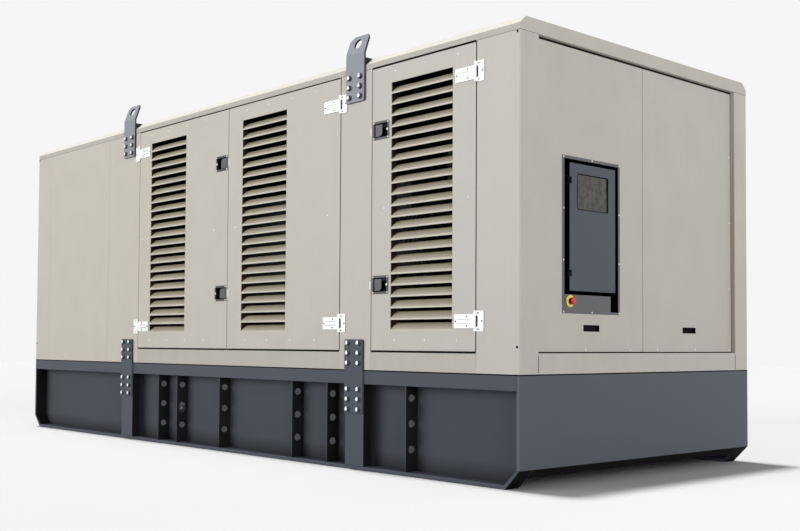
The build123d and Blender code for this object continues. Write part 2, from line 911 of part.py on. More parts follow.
control_hinges = []
control_pins = []
arm_back = recess_left - box_border
arm_face = control_axis_x - control_pin_radius
for z in control_hinge_z:
    low, high = around(z, control_hinge_length)
    tab_face = door_face + control_hinge_tab_thickness
    hinge = barrel(control_axis_x, control_axis_y, low, high, control_hinge_radius)
    hinge += slab(control_axis_x - control_hinge_radius, tab_face, control_axis_y, control_door_left,
                  low, high)
    hinge += slab(door_face, tab_face, control_door_left, control_door_left + control_hinge_tab, low, high)
    control_hinges.append(hinge - bore(control_axis_x, control_axis_y, low, high,
                                       control_pin_radius + pin_clearance))
    lower_arm = (low - control_hinge_radius - knuckle_gap, low - knuckle_gap)
    upper_arm = (high + knuckle_gap, high + knuckle_gap + control_hinge_radius)
    for arm_ends in (lower_arm, upper_arm):
        arm = slab(panel_face, arm_face, arm_back, control_axis_y, *arm_ends)
        arm -= slab(panel_face, frame_face, arm_back, recess_left, *arm_ends)
        arm += barrel(control_axis_x, control_axis_y, *arm_ends, control_hinge_radius)
        control_pins.append(arm)
    control_pins.append(barrel(control_axis_x, control_axis_y, low - knuckle_gap, high + knuckle_gap,
                               control_pin_radius))
write("control_door_hinges", *control_hinges)
write("control_hinge_brackets", *(Part() + control_pins).solids())

stop_collar_face = frame_face + stop_disc_thickness + stop_collar_height
stop_disc = drum_along_x(frame_face, frame_face + stop_disc_thickness, stop_y, stop_z, stop_disc_radius)
stop_disc += drum_along_x(frame_face, stop_collar_face, stop_y, stop_z, stop_collar_radius)
stop_disc -= hole_along_x(frame_face, stop_collar_face, stop_y, stop_z, stop_bore_radius)
write("stop_button_base", stop_disc)
stop_head_back = stop_collar_face + stop_gap
stop_head_face = stop_head_back + stop_head_height
stop_button = drum_along_x(stop_head_back, stop_head_face, stop_y, stop_z, stop_head_radius)
stop_button += drum_along_x(panel_face, stop_head_back, stop_y, stop_z, stop_stem_radius)
write("stop_button", stop_button)


# Generating set

set_rail_top = canopy_floor + set_rail_height
shaft_z = canopy_floor + shaft_height
foot_side = rail_spacing / 2 + set_rail_width / 2
radiator_start = -half_length + plenum_length
radiator_end = radiator_start + radiator_thickness
fan_ring_end = radiator_end + shroud_length + fan_ring_length
block_start = fan_ring_end + fan_gap
block_end = block_start + block_length
bell_end = block_end + bell_length
alternator_end = bell_end + alternator_length
set_rails = [
    slab(radiator_start - set_rail_overhang, alternator_end + set_rail_overhang,
         *around(side * rail_spacing / 2, set_rail_width), canopy_floor, set_rail_top)
    for side in (-1, 1)
]
write("set_rails", *set_rails)


def feet(x_from, y_inner, z_top):
    """Pair of mounting feet that stand on the set rails."""
    pair = Part()
    for side in (-1, 1):
        foot_ends = between(side * y_inner, side * foot_side)
        pair += slab(x_from, x_from + foot_width, *foot_ends, set_rail_top, z_top)
    return pair


block_bottom, block_top = around(shaft_z, block_height)
engine = slab(block_start, block_end, *around(0, block_width), block_bottom, block_top)
engine += prism_along_x([
    (-sump_top_width / 2, block_bottom),
    (sump_top_width / 2, block_bottom),
    (sump_floor_width / 2, block_bottom - sump_height),
    (-sump_floor_width / 2, block_bottom - sump_height),
], block_start, block_end)
cylinder_pitch = block_length / cylinder_count
head_top = block_top + head_height
for place in range(cylinder_count):
    x_head = around(block_start + (place + 1 / 2) * cylinder_pitch, cylinder_pitch - head_gap)
    engine += slab(*x_head, *around(0, head_width), block_top, head_top)
    engine += slab(*x_head, *around(0, rocker_width), head_top, head_top + rocker_height)
manifold_z = head_top - manifold_drop
for side in (-1, 1):
    manifold_ends = between(side * head_width / 2, side * (head_width / 2 + manifold_size))
    engine += slab(block_start, block_end, *manifold_ends, *around(manifold_z, manifold_size))
engine += drum_along_x(block_start - damper_length, block_start, 0, shaft_z, damper_radius)
engine += drum_along_x(block_end, bell_end, 0, shaft_z, bell_radius)
engine += feet(block_start, block_width / 2, block_bottom + foot_height / 2)
write("engine", engine)

alternator = drum_along_x(bell_end, alternator_end, 0, shaft_z, alternator_radius)
alternator += drum_along_x(alternator_end, alternator_end + shield_length, 0, shaft_z, shield_radius)
terminal_middle = (bell_end + alternator_end) / 2
alternator += slab(*around(terminal_middle, terminal_length), *around(0, terminal_width), shaft_z,
                   shaft_z + alternator_radius + terminal_height)
alternator += feet(alternator_end - 2 * foot_width, shield_radius, shaft_z - foot_height / 2)
write("alternator", alternator)

radiator_middle = set_rail_top + radiator_height / 2
radiator = slab(radiator_start, radiator_end, *around(0, radiator_width),
                set_rail_top, set_rail_top + radiator_height)
shroud_back = Plane.YZ * Rectangle(radiator_width - 2 * shroud_margin, radiator_height - 2 * shroud_margin)
shroud = extrude(shroud_back, shroud_length, dir=(1, 0, 0), taper=shroud_taper)
radiator += Pos(radiator_end, 0, radiator_middle) * shroud
radiator += drum_along_x(radiator_end + shroud_length, fan_ring_end, 0, radiator_middle, fan_ring_radius)
write("radiator", radiator)

silencer_place = -half_length + silencer_inset
silencer_z = lining_top - silencer_drop - silencer_radius
silencer = drum_along_y(silencer_place, *around(0, silencer_length), silencer_z, silencer_radius)
for side in (-1, 1):
    strap_ends = around(side * silencer_length / 4, silencer_strap_width)
    silencer += slab(*around(silencer_place, silencer_strap_width), *strap_ends, silencer_z, lining_top)
write("silencer", silencer)
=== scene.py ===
"""Dressed scene of the canopied diesel generator, in metres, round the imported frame."""
import json
from math import cos, pi, radians, sin

import bmesh
import bpy
from mathutils import Matrix, Vector


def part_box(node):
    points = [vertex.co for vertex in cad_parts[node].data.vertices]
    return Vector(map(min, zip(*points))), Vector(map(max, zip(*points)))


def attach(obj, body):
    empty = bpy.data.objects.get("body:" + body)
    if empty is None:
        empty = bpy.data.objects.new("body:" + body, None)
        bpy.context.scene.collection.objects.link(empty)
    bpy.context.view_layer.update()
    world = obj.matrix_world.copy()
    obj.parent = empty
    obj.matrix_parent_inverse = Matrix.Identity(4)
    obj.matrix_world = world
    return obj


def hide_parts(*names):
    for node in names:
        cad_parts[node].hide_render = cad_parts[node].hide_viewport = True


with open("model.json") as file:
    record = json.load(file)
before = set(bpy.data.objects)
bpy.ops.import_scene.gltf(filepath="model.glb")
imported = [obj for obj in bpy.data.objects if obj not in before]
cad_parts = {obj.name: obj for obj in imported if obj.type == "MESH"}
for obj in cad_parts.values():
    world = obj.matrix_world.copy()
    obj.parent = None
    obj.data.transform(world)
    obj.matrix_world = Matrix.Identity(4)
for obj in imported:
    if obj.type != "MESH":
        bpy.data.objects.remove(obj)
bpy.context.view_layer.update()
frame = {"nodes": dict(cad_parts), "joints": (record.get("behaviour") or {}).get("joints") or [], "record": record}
nodes = frame["nodes"]

# Camera, fitted to the photograph
image_width = 800
image_height = 531
sensor_width = 36.0
focal_pixels = 1100.92
principal_row = 304.28
camera_place = (5.9414, -4.8335, 0.6738)
camera_yaw = 42.502
camera_pitch = 2.070
camera_roll = 0.330

# Light; a sun has a strength, the direction towards it and its width in degrees
ambient_strength = 0.20
background_tone = 0.922
suns = {
    "top": (3.4, (-0.15, 0.0, 0.985), 5.0),
    "front": (1.90, (-0.48, -0.86, 0.14), 40.0),
    "end": (2.33, (0.97, -0.22, 0.09), 50.0),
    "back": (0.85, (-0.20, 0.97, 0.12), 50.0),
}
floor_size = 60.0
floor_tone = 0.61
floor_bounce = 0.26

# Rounded edges of the carried-over solids
usual_edge = 0.0015
small_edge = 0.0006
edges = {
    "base_top_rails": 0.003,
    "base_skid_flanges": 0.003,
    "base_lifting_posts": 0.002,
    "base_end_plates": 0.003,
    "roof": 0.003,
    "engine": 0.012,
    "alternator": 0.008,
    "radiator": 0.006,
    "silencer": 0.008,
    "set_rails": 0.006,
}
small_nodes = ("latches", "paddle", "control_hinge", "control_door_hinges", "flush_pulls", "window")
weld_distance = 0.00002
flat_angle = 1.0
edge_angle = 32.0
edge_segments = 2
normal_weight = 100
smooth_angle = 40.0
corner_steps = 6

# How far the normal of a face leans to a side before a second finish takes it
facing_share = 0.5
under_share = 0.3
inner_share = 0.1

# Rivets, screws and plugs; a profile is written in shares of radius and height
out_of_side = (0, -1, 0)
out_of_end = (1, 0, 0)
round_sides = 16
rivet_radius = 0.0046
rivet_height = 0.0022
rivet_shares = ((1, 0), (0.97, 0.3), (0.75, 0.75), (0.3, 1))
door_rivet_pitch = 0.228
door_rivet_drop = 0.037
door_rivet_rise = 0.053
door_rivet_starts = {"door_1": 0.154, "door_2": 0.194, "door_3": 0.179}
door_side_rivets = {"door_1": (0.041, 0.154), "door_2": (0.080, 0.109), "door_3": (0.097, 0.052)}
end_rivet_shares = (0.223, 0.437, 0.576, 0.786, 0.990)
end_rivet_rise = 0.010
jamb_rivet_rises = (0.361, 0.742, 1.124)
screw_radius = 0.0050
screw_height = 0.0022
screw_shares = ((1, 0), (1, 0.4), (0.7, 1))
frame_screw_inset = 0.0075
frame_screw_rows = 4
plug_radius = 0.0065
plug_height = 0.002
plug_inset = 0.016
plug_rise = 0.029
plug_drop = 0.008

# Bolts
bolt_sides = 6
bolt_radius = 0.0145
bolt_height = 0.0115
bolt_chamfer = 0.003
bolt_crown_share = 0.7
# Bolt facets turned towards this direction, and the washers under the bolts, are painted dark as shade
bolt_shade = (0.8, 0.0, -0.6)
bolt_shade_share = 0.15
washer_radius = 0.0165
washer_height = 0.0025
washer_shares = ((1, 0), (1, 0.6), (0.92, 1))
bolt_rows = 3
bolt_spacing = 0.089
bolt_pitch = 0.054
lug_bolt_drop = 0.024
tie_bolt_inset = 0.020
bolted_rib = 1
rib_washer_radius = 0.024
rib_place_digits = 3

# Lifting lugs and tie plates
lug_width = 0.152
lug_thickness = 0.012
lug_foot = 0.160
lug_foot_corner = 0.008
lug_straight = 0.260
lug_bend_radius = 0.025
lug_bend_steps = 6
lug_lean = 20.0
lug_bend_length = lug_bend_radius * radians(lug_lean)
lug_reach = 0.117
lug_front_corner = (0.031, 0.024)
lug_rear_corner = (0.012, 0.018)
lug_hole_radius = 0.029
lug_hole_drop = 0.050
lug_eye_steps = 8
tie_corner = 0.008
tie_edge = 0.001

# Strap hinges
strap_height = 0.068
strap_thickness = 0.004
strap_corner = 0.004
plate_chamfer = 0.0012
neck_height = 0.050
knuckle_radius = 0.007
knuckle_gap = 0.001
knuckle_round = 0.001
knuckle_sides = 20
pin_radius = 0.004
leaf_clearance = 0.002
hinge_leaf_width = 0.045
hinge_leaf_height = 0.100
# Black strip on each post leaf, painted as the shade of the slot beside the middle knuckle
shade_strip_start = 0.0055
shade_strip_width = 0.0100
shade_strip_proud = 0.003
shade_strip_chamfer = 0.00075
bead_spacing = 0.020
bead_width = 0.0045
bead_height = 0.0012
bead_margin = 0.022
strap_end_screw = 0.011
strap_root_screws = 0.048
strap_screw_rise = 0.023
leaf_root_screws = 0.010
leaf_screw_rise = 0.039
leaf_end_screw = 0.010

# Latches
latch_height = 0.097
latch_rivet_inset = 0.0075
lock_radius = 0.0065
lock_height = 0.004
lock_inset = 0.012
striker_width = 0.009
striker_height = 0.042
striker_depth = 0.002

# Seals and seams
seal_clearance = 0.0015
seal_proud = 0.0004
# How far the black seals reach past the gaps onto the faces beside them, as painted shade
seal_overlap = 0.0045
seal_top_overlaps = {"door_1": 0.0005, "door_2": 0.0005, "door_3": 0.0045}
seal_depth = 0.020
seam_width = 0.0030
seam_set_back = 0.0004
seam_depth = 0.004
short_seam_width = 0.005
short_seam_inset = 0.013
gap_width = 0.006
gap_set_back = 0.0008
base_seam_height = 0.0055
strip_chamfer = 0.0004

# Paints
canopy_colour = (0.536, 0.514, 0.468)
# The canopy paint grows lighter and warmer from x = 2.3 towards x = -1.0 as painted light
canopy_painted_light_colour = (0.583, 0.543, 0.468)
painted_light_drift_ends = (2.3, -1.0)
base_colour = (0.081, 0.089, 0.112)
web_colour = (0.076, 0.083, 0.100)
# The roof takes a lighter copy of the canopy paint, as painted light
roof_light_share = 0.09
web_foot_shade_share = -0.6
web_foot_shade_height = 0.09
flank_shade_share = -0.55
blade_lip_highlight_colour = (0.610, 0.570, 0.485)
blade_top_shade_colour = (0.450, 0.390, 0.270)
seam_colours = {"seam_and_shade_brown": (0.13, 0.115, 0.098), "seam_dark": (0.05, 0.043, 0.038),
                "seam_pale": (0.36, 0.33, 0.285)}

# Pattern of the finishes
cloud_detail = 6.0
cloud_range_shares = (0.3, 0.7)
streak_scale = 30.0
streak_detail = 3.0
streak_stretch = (1, 1, 0.03)
streak_range_shares = (0.4, 0.7)
streak_dark_share = -0.5
gloss_spread = 0.05
grain_detail = 4.0
grain_depth = 0.001
rib_strength = 0.8
rib_depth = 0.006

# Louvre blades
blade_count = 22
blade_depth = 0.041
blade_rise = 0.036
blade_bulge_share = 0.2
blade_lip = 0.008
solid_blade_height = 0.042
blade_thickness = 0.002
blade_steps = 10
cheek_thickness = 0.0015
cheek_set_back = 0.005
cheek_chamfer = 0.0005

# Emergency stop
stop_disc_height = 0.002
stop_disc_sides = 40
stop_collar_radius = 0.0150
stop_collar_height = 0.007
stop_collar_sides = 32
stop_stem_radius = 0.009
stop_stem_sides = 24
stop_round = 0.0015
dome_steps = 7
dome_power = 0.5

# Control window
window_band = 0.007
window_proud = 0.0008
window_corner = 0.012

# Places read from the frame
base_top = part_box("base_top_rails")[1].z
sill_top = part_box("sills")[1].z
wall_low, wall_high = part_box("middle_posts")
side_face = wall_low.y
fascia_bottom = wall_high.z
web_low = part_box("base_webs")[0]
web_face = web_low.y
web_foot = web_low.z
post_low, post_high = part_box("corner_posts")
panel_low, panel_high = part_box("control_end_panels")
tie_low, tie_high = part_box("tie_plates")
side_panel_low, side_panel_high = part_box("radiator_side_panels")
end_blade_face = -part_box("radiator_end_louvres")[0].x
lug_places = (tie_low.x + lug_width / 2, tie_high.x - lug_width / 2)
post_faces = ((post_high.x, 1), (post_low.x, -1))
panel_faces = ((panel_high.x, 1), (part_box("radiator_end_panels")[0].x, -1))


class Door:
    """Places of one louvred door of the photographed side."""

    def __init__(self, name):
        self.name = name
        self.low, self.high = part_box(f"{name}_leaf")
        self.axis = next(Vector(joint["pos_m"]) for joint in frame["joints"] if joint["child"] == name)
        self.away = 1 if self.axis.x < self.low.x else -1
        self.louvre_low, self.louvre_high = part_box(f"{name}_louvres")
        hinge_low, hinge_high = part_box(f"{name}_hinges")
        self.strap_end = hinge_high.x if self.away > 0 else hinge_low.x
        self.hinge_heights = (hinge_low.z + strap_height / 2, hinge_high.z - strap_height / 2)
        self.has_latch = f"{name}_latches" in nodes
        if self.has_latch:
            self.latch_low, self.latch_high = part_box(f"{name}_latches")
            self.latch_heights = (self.latch_low.z + latch_height / 2, self.latch_high.z - latch_height / 2)


doors = [Door(name) for name in door_rivet_starts]


class Shape:
    """Mesh under construction: points, faces and the finish number of each face."""

    def __init__(self):
        self.points = []
        self.faces = []
        self.marks = []

    def add(self, skin, mark=0):
        """Add a skin with one finish number, or with a list of one for each face."""
        points, faces = skin
        first = len(self.points)
        self.points += [tuple(point) for point in points]
        self.faces += [[first + corner for corner in face] for face in faces]
        self.marks += mark if isinstance(mark, list) else [mark] * len(faces)

    def mirrored(self):
        """The same on the far long side."""
        other = Shape()
        other.points = [(x, -y, z) for x, y, z in self.points]
        other.faces = self.faces
        other.marks = self.marks
        return other

    def finish(self, name, body, slot, finishes, replaced=()):
        """Make the object, give it its finishes and let it ride on its body."""
        mesh = bpy.data.meshes.new(name)
        mesh.from_pydata(self.points, [], self.faces)
        for look in finishes:
            mesh.materials.append(looks[look])
        mesh.polygons.foreach_set("material_index", self.marks)
        work = bmesh.new()
        work.from_mesh(mesh)
        bmesh.ops.recalc_face_normals(work, faces=work.faces)
        work.to_mesh(mesh)
        work.free()
        mesh.shade_smooth()
        mesh.set_sharp_from_angle(angle=radians(smooth_angle))
        piece = placed(name, mesh)
        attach(piece, body)
        if replaced:
            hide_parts(*replaced)

    def finish_both(self, name, body, slot, finishes, replaced=(), far_replaced=()):
        """Make the object, and its mirror image on the far side, where nothing moves."""
        self.finish(name, body, slot, finishes, replaced)
        self.mirrored().finish(f"far_{name}", "root", slot, finishes, far_replaced)


def lofted(rings, looped=False):
    """Skin through rings of equally many places: closed by caps, or back to the first ring."""
    count = len(rings[0])
    total = len(rings)
    points = [place for ring in rings for place in ring]
    faces = []
    for ring in range(total if looped else total - 1):
        low = ring * count
        high = (ring + 1) % total * count
        for step in range(count):
            after = (step + 1) % count
            faces.append((low + step, low + after, high + after, high + step))
    if not looped:
        faces.append(range(count))
        faces.append(range((total - 1) * count, total * count))
    return points, faces


def turned(profile, place, direction, sides=round_sides):
    """Skin of a profile of radii and heights, turned about a direction at a place."""
    upright = Vector(direction).to_track_quat("Z", "Y").to_matrix().to_4x4()
    seat = Matrix.Translation(Vector(place)) @ upright
    rings = []
    for radius, height in profile:
        ring = []
        for step in range(sides):
            angle = 2 * pi * step / sides
            ring.append(seat @ Vector((radius * cos(angle), radius * sin(angle), height)))
        rings.append(ring)
    return lofted(rings)


def scaled(shares, radius, height):
    """Profile of a radius and a height from its shares."""
    return [(radius * across, height * up) for across, up in shares]


def bar(low, high, axis, out, chamfer):
    """Skin of a block between two corners, with cut edges round its front on one side of an axis."""
    low = Vector(low)
    high = Vector(high)
    first, second = [place for place in range(3) if place != axis]
    back, front = (low[axis], high[axis]) if out > 0 else (high[axis], low[axis])
    rings = []
    for depth, inset in ((back, 0), (front - out * chamfer, 0), (front, chamfer)):
        ring = []
        for share_first, share_second in ((0, 0), (1, 0), (1, 1), (0, 1)):
            place = Vector((0, 0, 0))
            place[axis] = depth
            place[first] = (high if share_first else low)[first] + (-inset if share_first else inset)
            place[second] = (high if share_second else low)[second] + (-inset if share_second else inset)
            ring.append(place)
        rings.append(ring)
    return lofted(rings)


def side_bar(shape, x_ends, z_ends, front, back, chamfer, mark=0):
    """Block on the photographed side with cut edges round its front."""
    shape.add(bar((x_ends[0], front, z_ends[0]), (x_ends[1], back, z_ends[1]), 1, -1, chamfer), mark)


def around(middle, size):
    """The two ends of a size about its middle."""
    return middle - size / 2, middle + size / 2


def rounded_outline(size_first, size_second, radius):
    """Points of a rectangle with round corners about the origin."""
    outline = []
    for corner, (sign_first, sign_second) in enumerate(((1, 1), (-1, 1), (-1, -1), (1, -1))):
        for step in range(corner_steps + 1):
            angle = pi / 2 * (corner + step / corner_steps)
            outline.append((sign_first * (size_first / 2 - radius) + radius * cos(angle),
                            sign_second * (size_second / 2 - radius) + radius * sin(angle)))
    return outline


# Helpers for objects and nodes

def placed(name, data):
    """New object in the scene."""
    thing = bpy.data.objects.new(name, data)
    bpy.context.scene.collection.objects.link(thing)
    return thing


def set_inputs(tree, node, values):
    """Link or set each named input of a node."""
    for name, value in values.items():
        if isinstance(value, bpy.types.NodeSocket):
            tree.links.new(value, node.inputs[name])
        else:
            node.inputs[name].default_value = value


def add_node(tree, kind, values):
    """New node with its inputs linked or set."""
    node = tree.nodes.new(f"ShaderNode{kind}")
    set_inputs(tree, node, values)
    return node


def new_material(name):
    """New material with its node tree and shader."""
    material = bpy.data.materials.new(name)
    material.use_nodes = True
    return material, material.node_tree, material.node_tree.nodes["Principled BSDF"]


# Stage

def make_camera():
    """Camera at the place from which the photograph was taken."""
    data = bpy.data.cameras.new("camera")
    data.sensor_width = sensor_width
    data.lens = focal_pixels * sensor_width / image_width
    data.shift_y = (principal_row - image_height / 2) / image_width
    data.clip_end = floor_size * 2
    camera = placed("camera", data)
    yaw = radians(camera_yaw)
    pitch = radians(camera_pitch)
    roll = radians(camera_roll)
    forward = Vector((-cos(yaw) * cos(pitch), sin(yaw) * cos(pitch), sin(pitch)))
    level = forward.cross(Vector((0, 0, 1))).normalized()
    upright = level.cross(forward)
    right = level * cos(roll) + upright * sin(roll)
    up = upright * cos(roll) - level * sin(roll)
    matrix = Matrix((right, up, -forward)).transposed().to_4x4()
    matrix.translation = Vector(camera_place)
    camera.matrix_world = matrix
    bpy.context.scene.camera = camera


def make_sun(name, strength, direction, softness):
    """Soft parallel light from a direction."""
    data = bpy.data.lights.new(name, "SUN")
    data.energy = strength
    data.angle = radians(softness)
    placed(name, data).rotation_euler = Vector(direction).to_track_quat("Z", "Y").to_euler()


def seen_directly(tree):
    """Socket that is one for camera, glossy and transmission rays."""
    path = tree.nodes.new("ShaderNodeLightPath")
    socket = path.outputs["Is Camera Ray"]
    for other in ("Is Glossy Ray", "Is Transmission Ray"):
        either = add_node(tree, "Math", {0: socket, 1: path.outputs[other]})
        either.operation = "MAXIMUM"
        socket = either.outputs[0]
    return socket


def make_world():
    """Even studio ambience with a plain pale background."""
    world = bpy.data.worlds.new("studio")
    bpy.context.scene.world = world
    world.use_nodes = True
    tree = world.node_tree
    tree.nodes.clear()
    mix = add_node(tree, "MixShader", {"Fac": seen_directly(tree)})
    for place, strength in ((1, ambient_strength), (2, background_tone)):
        light = add_node(tree, "Background", {"Color": (1, 1, 1, 1), "Strength": strength})
        tree.links.new(light.outputs[0], mix.inputs[place])
    add_node(tree, "OutputWorld", {"Surface": mix.outputs[0]})


def colour_mix(tree, factor, first, second):
    """Socket of a colour between two colours or sockets."""
    mix = tree.nodes.new("ShaderNodeMix")
    mix.data_type = "RGBA"
    sockets = [socket for socket in mix.inputs if socket.type == "RGBA"]
    for socket, value in zip(sockets, (first, second)):
        if isinstance(value, bpy.types.NodeSocket):
            tree.links.new(value, socket)
        else:
            socket.default_value = (*value, 1)
    tree.links.new(factor, mix.inputs["Factor"])
    return [socket for socket in mix.outputs if socket.type == "RGBA"][0]


def make_floor():
    """Wide pale floor that takes the shadow and throws little light back."""
    mesh = bpy.data.meshes.new("floor")
    half = floor_size / 2
    corners = [(-half, -half, 0), (half, -half, 0), (half, half, 0), (-half, half, 0)]
    mesh.from_pydata(corners, [], [(0, 1, 2, 3)])
    floor = placed("floor", mesh)
    material, tree, shader = new_material("floor")
    tone = colour_mix(tree, seen_directly(tree), (floor_bounce,) * 3, (floor_tone,) * 3)
    set_inputs(tree, shader, {"Base Color": tone, "Roughness": 1.0, "Specular IOR Level": 0.0})
    mesh.materials.append(material)


# Finishes

def noise(tree, place, scale, detail, stretch=(1, 1, 1)):
    """Socket of a noise in object space, stretched along the axes."""
    spread = add_node(tree, "Mapping", {"Vector": place, "Scale": stretch}).outputs["Vector"]
    return add_node(tree, "TexNoise", {"Vector": spread, "Scale": scale, "Detail": detail}).outputs["Fac"]


def bands(tree, place, direction, scale):
    """Socket of even bands along one axis."""
    wave = add_node(tree, "TexWave", {"Vector": place, "Scale": scale})
    wave.bands_direction = direction
    return wave.outputs["Fac"]


def coordinate(tree, place, axis):
    """Socket of one coordinate of a place."""
    return add_node(tree, "SeparateXYZ", {0: place}).outputs[axis]


def ramp(tree, value, low, high, start, end):
    """Socket that goes from a start to an end while a value goes from low to high."""
    values = {"Value": value, "From Min": low, "From Max": high, "To Min": start, "To Max": end}
    return add_node(tree, "MapRange", values).outputs["Result"]


def shaded(colour, share):
    """A colour made darker or lighter by a share."""
    return tuple(min(1.0, value * (1 + share)) for value in colour)


def finish_look(name, colour, roughness=0.4, mottle=0.03, mottle_scale=5.0, streak=0.0,
                grain=0.03, grain_scale=900.0, metallic=0.0, specular=0.5, ribs=None, fade=None,
                drift=None):
    """Sprayed, plated or moulded finish: clouds of tone, run-down streaks, ribs and a fine grain.

    A fade names an axis, the two distances from the middle between which it goes, and its last colour.
    A drift names two places along the length and the colour that the finish takes on from one to the other.
    """
    material, tree, shader = new_material(name)
    place = tree.nodes.new("ShaderNodeTexCoord").outputs["Object"]
    cloud = noise(tree, place, mottle_scale, cloud_detail)
    clouded = ramp(tree, cloud, *cloud_range_shares, 0, 1)
    tone = colour_mix(tree, clouded, shaded(colour, -mottle), shaded(colour, mottle))
    if drift:
        start, end, last = drift
        moved = colour_mix(tree, clouded, shaded(last, -mottle), shaded(last, mottle))
        along = ramp(tree, coordinate(tree, place, "X"), start, end, 0, 1)
        tone = colour_mix(tree, along, tone, moved)
    if fade:
        axis, start, end, last = fade
        distance = add_node(tree, "Math", {0: coordinate(tree, place, axis)})
        distance.operation = "ABSOLUTE"
        tone = colour_mix(tree, ramp(tree, distance.outputs[0], start, end, 0, 1), tone, last)
    if streak:
        lines = noise(tree, place, streak_scale, streak_detail, streak_stretch)
        streaked = ramp(tree, lines, *streak_range_shares, 0, streak)
        tone = colour_mix(tree, streaked, tone, shaded(colour, streak_dark_share))
    gloss = ramp(tree, cloud, *cloud_range_shares, roughness - gloss_spread, roughness + gloss_spread)
    fine = noise(tree, place, grain_scale, grain_detail)
    bump = add_node(tree, "Bump", {"Height": fine, "Strength": grain, "Distance": grain_depth})
    if ribs:
        bump = add_node(tree, "Bump", {"Height": bands(tree, place, *ribs), "Strength": rib_strength,
                                       "Distance": rib_depth, "Normal": bump.outputs["Normal"]})
    set_inputs(tree, shader, {"Base Color": tone, "Roughness": gloss, "Normal": bump.outputs["Normal"],
                              "Metallic": metallic, "Specular IOR Level": specular})
    return material


paints = {
    "canopy_paint": dict(colour=canopy_colour, roughness=0.42, streak=0.03,
                         drift=(*painted_light_drift_ends, canopy_painted_light_colour)),
    # The blades are painted with a highlight at the lip, brighter than the canopy, fading inward to painted shade
    # at the top edge
    "blade_paint": dict(colour=blade_lip_highlight_colour, roughness=0.42,
                        fade=("Y", -side_face, -side_face - blade_depth, blade_top_shade_colour)),
    "end_blade_paint": dict(colour=blade_lip_highlight_colour, roughness=0.42,
                            fade=("X", end_blade_face, end_blade_face - blade_depth, blade_top_shade_colour)),
    "roof_paint": dict(colour=shaded(canopy_colour, roof_light_share), roughness=0.65, streak=0.03, specular=0.06),
    # The sills are painted darker than the canopy, as shade low on the side
    "sill_paint": dict(colour=(0.490, 0.459, 0.401), roughness=0.42, streak=0.05),
    "base_paint": dict(colour=base_colour, roughness=0.55, mottle=0.05, specular=0.15),
    # The base end plates take a lighter copy of the base paint, as painted light on the end
    "end_plate_paint": dict(colour=(0.086, 0.095, 0.117), roughness=0.5, mottle=0.05, specular=0.3),
    # Painted shade on the flanks of the lifting posts: black at the front, fading to a darker base colour towards
    # the web
    "flank_painted_shade": dict(colour=(0.006, 0.006, 0.008), roughness=0.55, mottle=0.2, specular=0.15,
                        fade=("Y", (web_face - side_face) / 2 - web_face, -web_face,
                              shaded(base_colour, flank_shade_share))),
    # The web is painted darker towards its foot as shade
    "web_paint": dict(colour=web_colour, roughness=0.6, mottle=0.06, specular=0.08,
                      fade=("Z", web_foot + web_foot_shade_height, web_foot, shaded(web_colour, web_foot_shade_share))),
    "jamb_painted_shade": dict(colour=(0.46, 0.39, 0.29), roughness=0.5),
    "lug_paint": dict(colour=(0.232, 0.241, 0.282), roughness=0.42, mottle=0.05),
    "bracket_paint": dict(colour=(0.083, 0.091, 0.114), roughness=0.55, mottle=0.06, specular=0.15),
    "lug_edge_painted_shade": dict(colour=(0.022, 0.022, 0.026), roughness=0.5, mottle=0.2, specular=0.3),
    "black_paint": dict(colour=(0.007, 0.007, 0.009), roughness=0.5, mottle=0.2, specular=0.25),
    "zinc": dict(colour=(0.90, 0.91, 0.92), roughness=0.36, mottle=0.04, metallic=0.25, mottle_scale=60.0),
    "zinc_shade": dict(colour=(0.40, 0.40, 0.45), mottle=0.08, metallic=0.25),
    "bolt_painted_shade": dict(colour=(0.050, 0.054, 0.064), roughness=0.35, mottle=0.15, specular=0.4),
    "screw_dark_and_rim_shade": dict(colour=(0.045, 0.045, 0.05), mottle=0.2),
    "rivet_white": dict(colour=(0.92, 0.92, 0.90), roughness=0.3),
    "latch_black": dict(colour=(0.005, 0.005, 0.007), roughness=0.45, mottle=0.2, specular=0.25),
    "latch_rim": dict(colour=(0.034, 0.034, 0.033), metallic=0.2, mottle=0.2, mottle_scale=40.0),
    "paddle_grey": dict(colour=(0.038, 0.039, 0.042), roughness=0.38, mottle=0.1, mottle_scale=30.0),
    "control_grey": dict(colour=(0.108, 0.107, 0.118), roughness=0.45, mottle=0.05),
    "control_blue": dict(colour=(0.076, 0.084, 0.106), roughness=0.45, mottle=0.04, specular=0.3),
    "control_black": dict(colour=(0.003, 0.003, 0.006), roughness=0.6, mottle=0.2, specular=0.05),
    "window_glass": dict(colour=(0.055, 0.052, 0.043), roughness=0.15, mottle=0.6, mottle_scale=34.0,
                         grain=0.02),
    "stop_yellow": dict(colour=(0.95, 0.75, 0.13), roughness=0.32),
    "stop_red": dict(colour=(0.72, 0.030, 0.024), roughness=0.28),
    "engine_paint": dict(colour=(0.055, 0.062, 0.070), mottle=0.12, grain=0.12, grain_scale=240.0),
    "alternator_paint": dict(colour=(0.075, 0.083, 0.095), mottle=0.1, ribs=("X", 8.0)),
    "radiator_black": dict(colour=(0.02, 0.02, 0.022), roughness=0.55, mottle=0.2, ribs=("Z", 26.0)),
    "silencer_steel": dict(colour=(0.45, 0.45, 0.45), metallic=0.9, mottle=0.12),
    "lining_foam": dict(colour=(0.010, 0.009, 0.009), roughness=0.95, mottle=0.3, grain=0.8,
                        grain_scale=140.0, specular=0.1),
    "louvre_cheek_painted_shade": dict(colour=(0.030, 0.014, 0.012), roughness=0.7, mottle=0.2, specular=0.1),
    "seal_and_shade_black": dict(colour=(0.006, 0.005, 0.005), roughness=0.8, mottle=0.2, specular=0.1),
}
